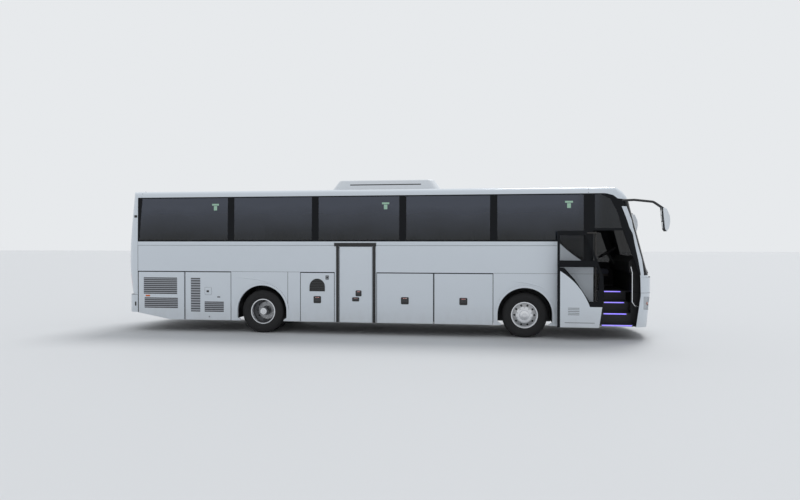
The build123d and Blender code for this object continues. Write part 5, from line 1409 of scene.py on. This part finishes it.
seat_base_z = 1.2603
seat_z = seat_base_z + 0.430
back_foot_z, back_rake = seat_z - 0.13, 0.130 / 0.890
seat_rows, seat_pitch, first_seat_x = 13, 0.780, front_axle_x - 9.198 + 0.330
pair_length, pair_width, wall_side_y = 0.550, 0.880, 1.213
stairs_rear_x, stairs_front_x = front_axle_x - 4.256, front_axle_x - 3.400
pair_shapes = []
for seat_y in (0.22, 0.66):
    place = (0, seat_y, seat_z)
    back = block_from(place, (0.020, -0.200, -0.080), (0.090, 0.200, 0.500), 0.030)
    head = block_from(place, (0.024, -0.130, 0.515), (0.086, 0.130, 0.725), 0.030)
    pair_shapes += [block_from(place, (0.125, -0.200, -0.115), (0.535, 0.200, -0.030), 0.035),
                    sheared(back, back_foot_z, back_rake), sheared(head, back_foot_z, back_rake)]
pair_pad = stuffed("seat_pad", pair_shapes, 0.024, 0.012)
seat_frames = []
for row in range(seat_rows):
    seat_x = first_seat_x + row * seat_pitch
    over_stairs = seat_x + pair_length > stairs_rear_x and seat_x < stairs_front_x
    for word, base_y in (("right", -wall_side_y), ("left", wall_side_y - pair_width)):
        if word == "right" and over_stairs:
            continue
        pad = bpy.data.objects.new(f"seat_pair_{word}_{row + 1}", pair_pad.data)
        pad.location = (seat_x, base_y, 0)
        scene.collection.objects.link(pad)
        cushion(pad)
        place = (seat_x, base_y, seat_z)
        seat_frames += [block_from(place, (0.155, 0.30, -0.430), (0.235, 0.58, -0.12), 0.008, 1),
                        block_from(place, (0.13, 0.01, -0.136), (0.50, 0.87, -0.118), 0.006, 1),
                        block_from(place, (0.10, 0.428, 0.13), (0.40, 0.452, 0.17), 0.008)]
frames = put("seat_frames", seat_frames, steel_black, "root", "frame_steel")
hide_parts("passenger_seats")
bpy.data.objects.remove(pair_pad)


# Driver's seat
# A sprung seat on a painted steel pedestal, bolted to the cab floor: black cloth over foam, with a high
# back and side bolsters.
driver_place = (front_axle_x + 1.560, 0.660, 1.0213)
driver_back_z, driver_rake = driver_place[2] + 0.40, 0.085
driver_back = block_from(driver_place, (0.020, -0.220, 0.400), (0.105, 0.220, 0.980), 0.035)
driver_head = block_from(driver_place, (0.030, -0.130, 1.000), (0.100, 0.130, 1.205), 0.03)
driver_shapes = [block_from(driver_place, (0.135, -0.235, 0.350), (0.585, 0.235, 0.455), 0.04),
                 sheared(driver_back, driver_back_z, driver_rake),
                 sheared(driver_head, driver_back_z, driver_rake),
                 block_from(driver_place, (0.150, -0.245, 0.400), (0.560, -0.185, 0.472), 0.025),
                 block_from(driver_place, (0.150, 0.185, 0.400), (0.560, 0.245, 0.472), 0.025)]
driver_pad = stuffed("driver_seat_pad", driver_shapes, 0.014, 0.010)
cushion(driver_pad)
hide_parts("driver_seat")
pedestal = [block_from(driver_place, (0.17, -0.17, 0), (0.50, 0.17, 0.05), 0.01),
            block_from(driver_place, (0.24, -0.11, 0.045), (0.43, 0.11, 0.30), 0.02),
            block_from(driver_place, (0.14, -0.22, 0.295), (0.56, 0.22, 0.345), 0.012)]
put("driver_seat_pedestal", pedestal, steel_black, "root", "frame_steel")


# Luggage racks and cabin lights
# Grey moulded racks hang above the windows from the roof's frame, with a row of lit panels under their
# inner edges.
dress(moulding("rack_trim", rgb(0.30, 0.31, 0.32), 0.5), "luggage_racks")
lit = Finish("cabin_light")
lit_panel = lit.surface(Base_Color=rgb(0.7, 0.72, 0.75), Roughness=0.4, Emission_Strength=1.5,
                        Emission_Color=lit.blend(lit.noise(8), rgb(0.70, 0.74, 0.80), rgb(0.95, 0.97, 1.0)))
first_light_x, light_y, light_z = first_seat_x + 0.30, 0.93, 2.842
light_places = [(first_light_x + row * seat_pitch, y, light_z)
                for row in range(seat_rows - 1) for y in (-light_y, light_y)]
lights = [block_from(place, (0, -0.030, 0), (0.36, 0.030, 0.014), 0.004, 1) for place in light_places]
put("cabin_lights", lights, lit_panel, "root", "lamp_lens")
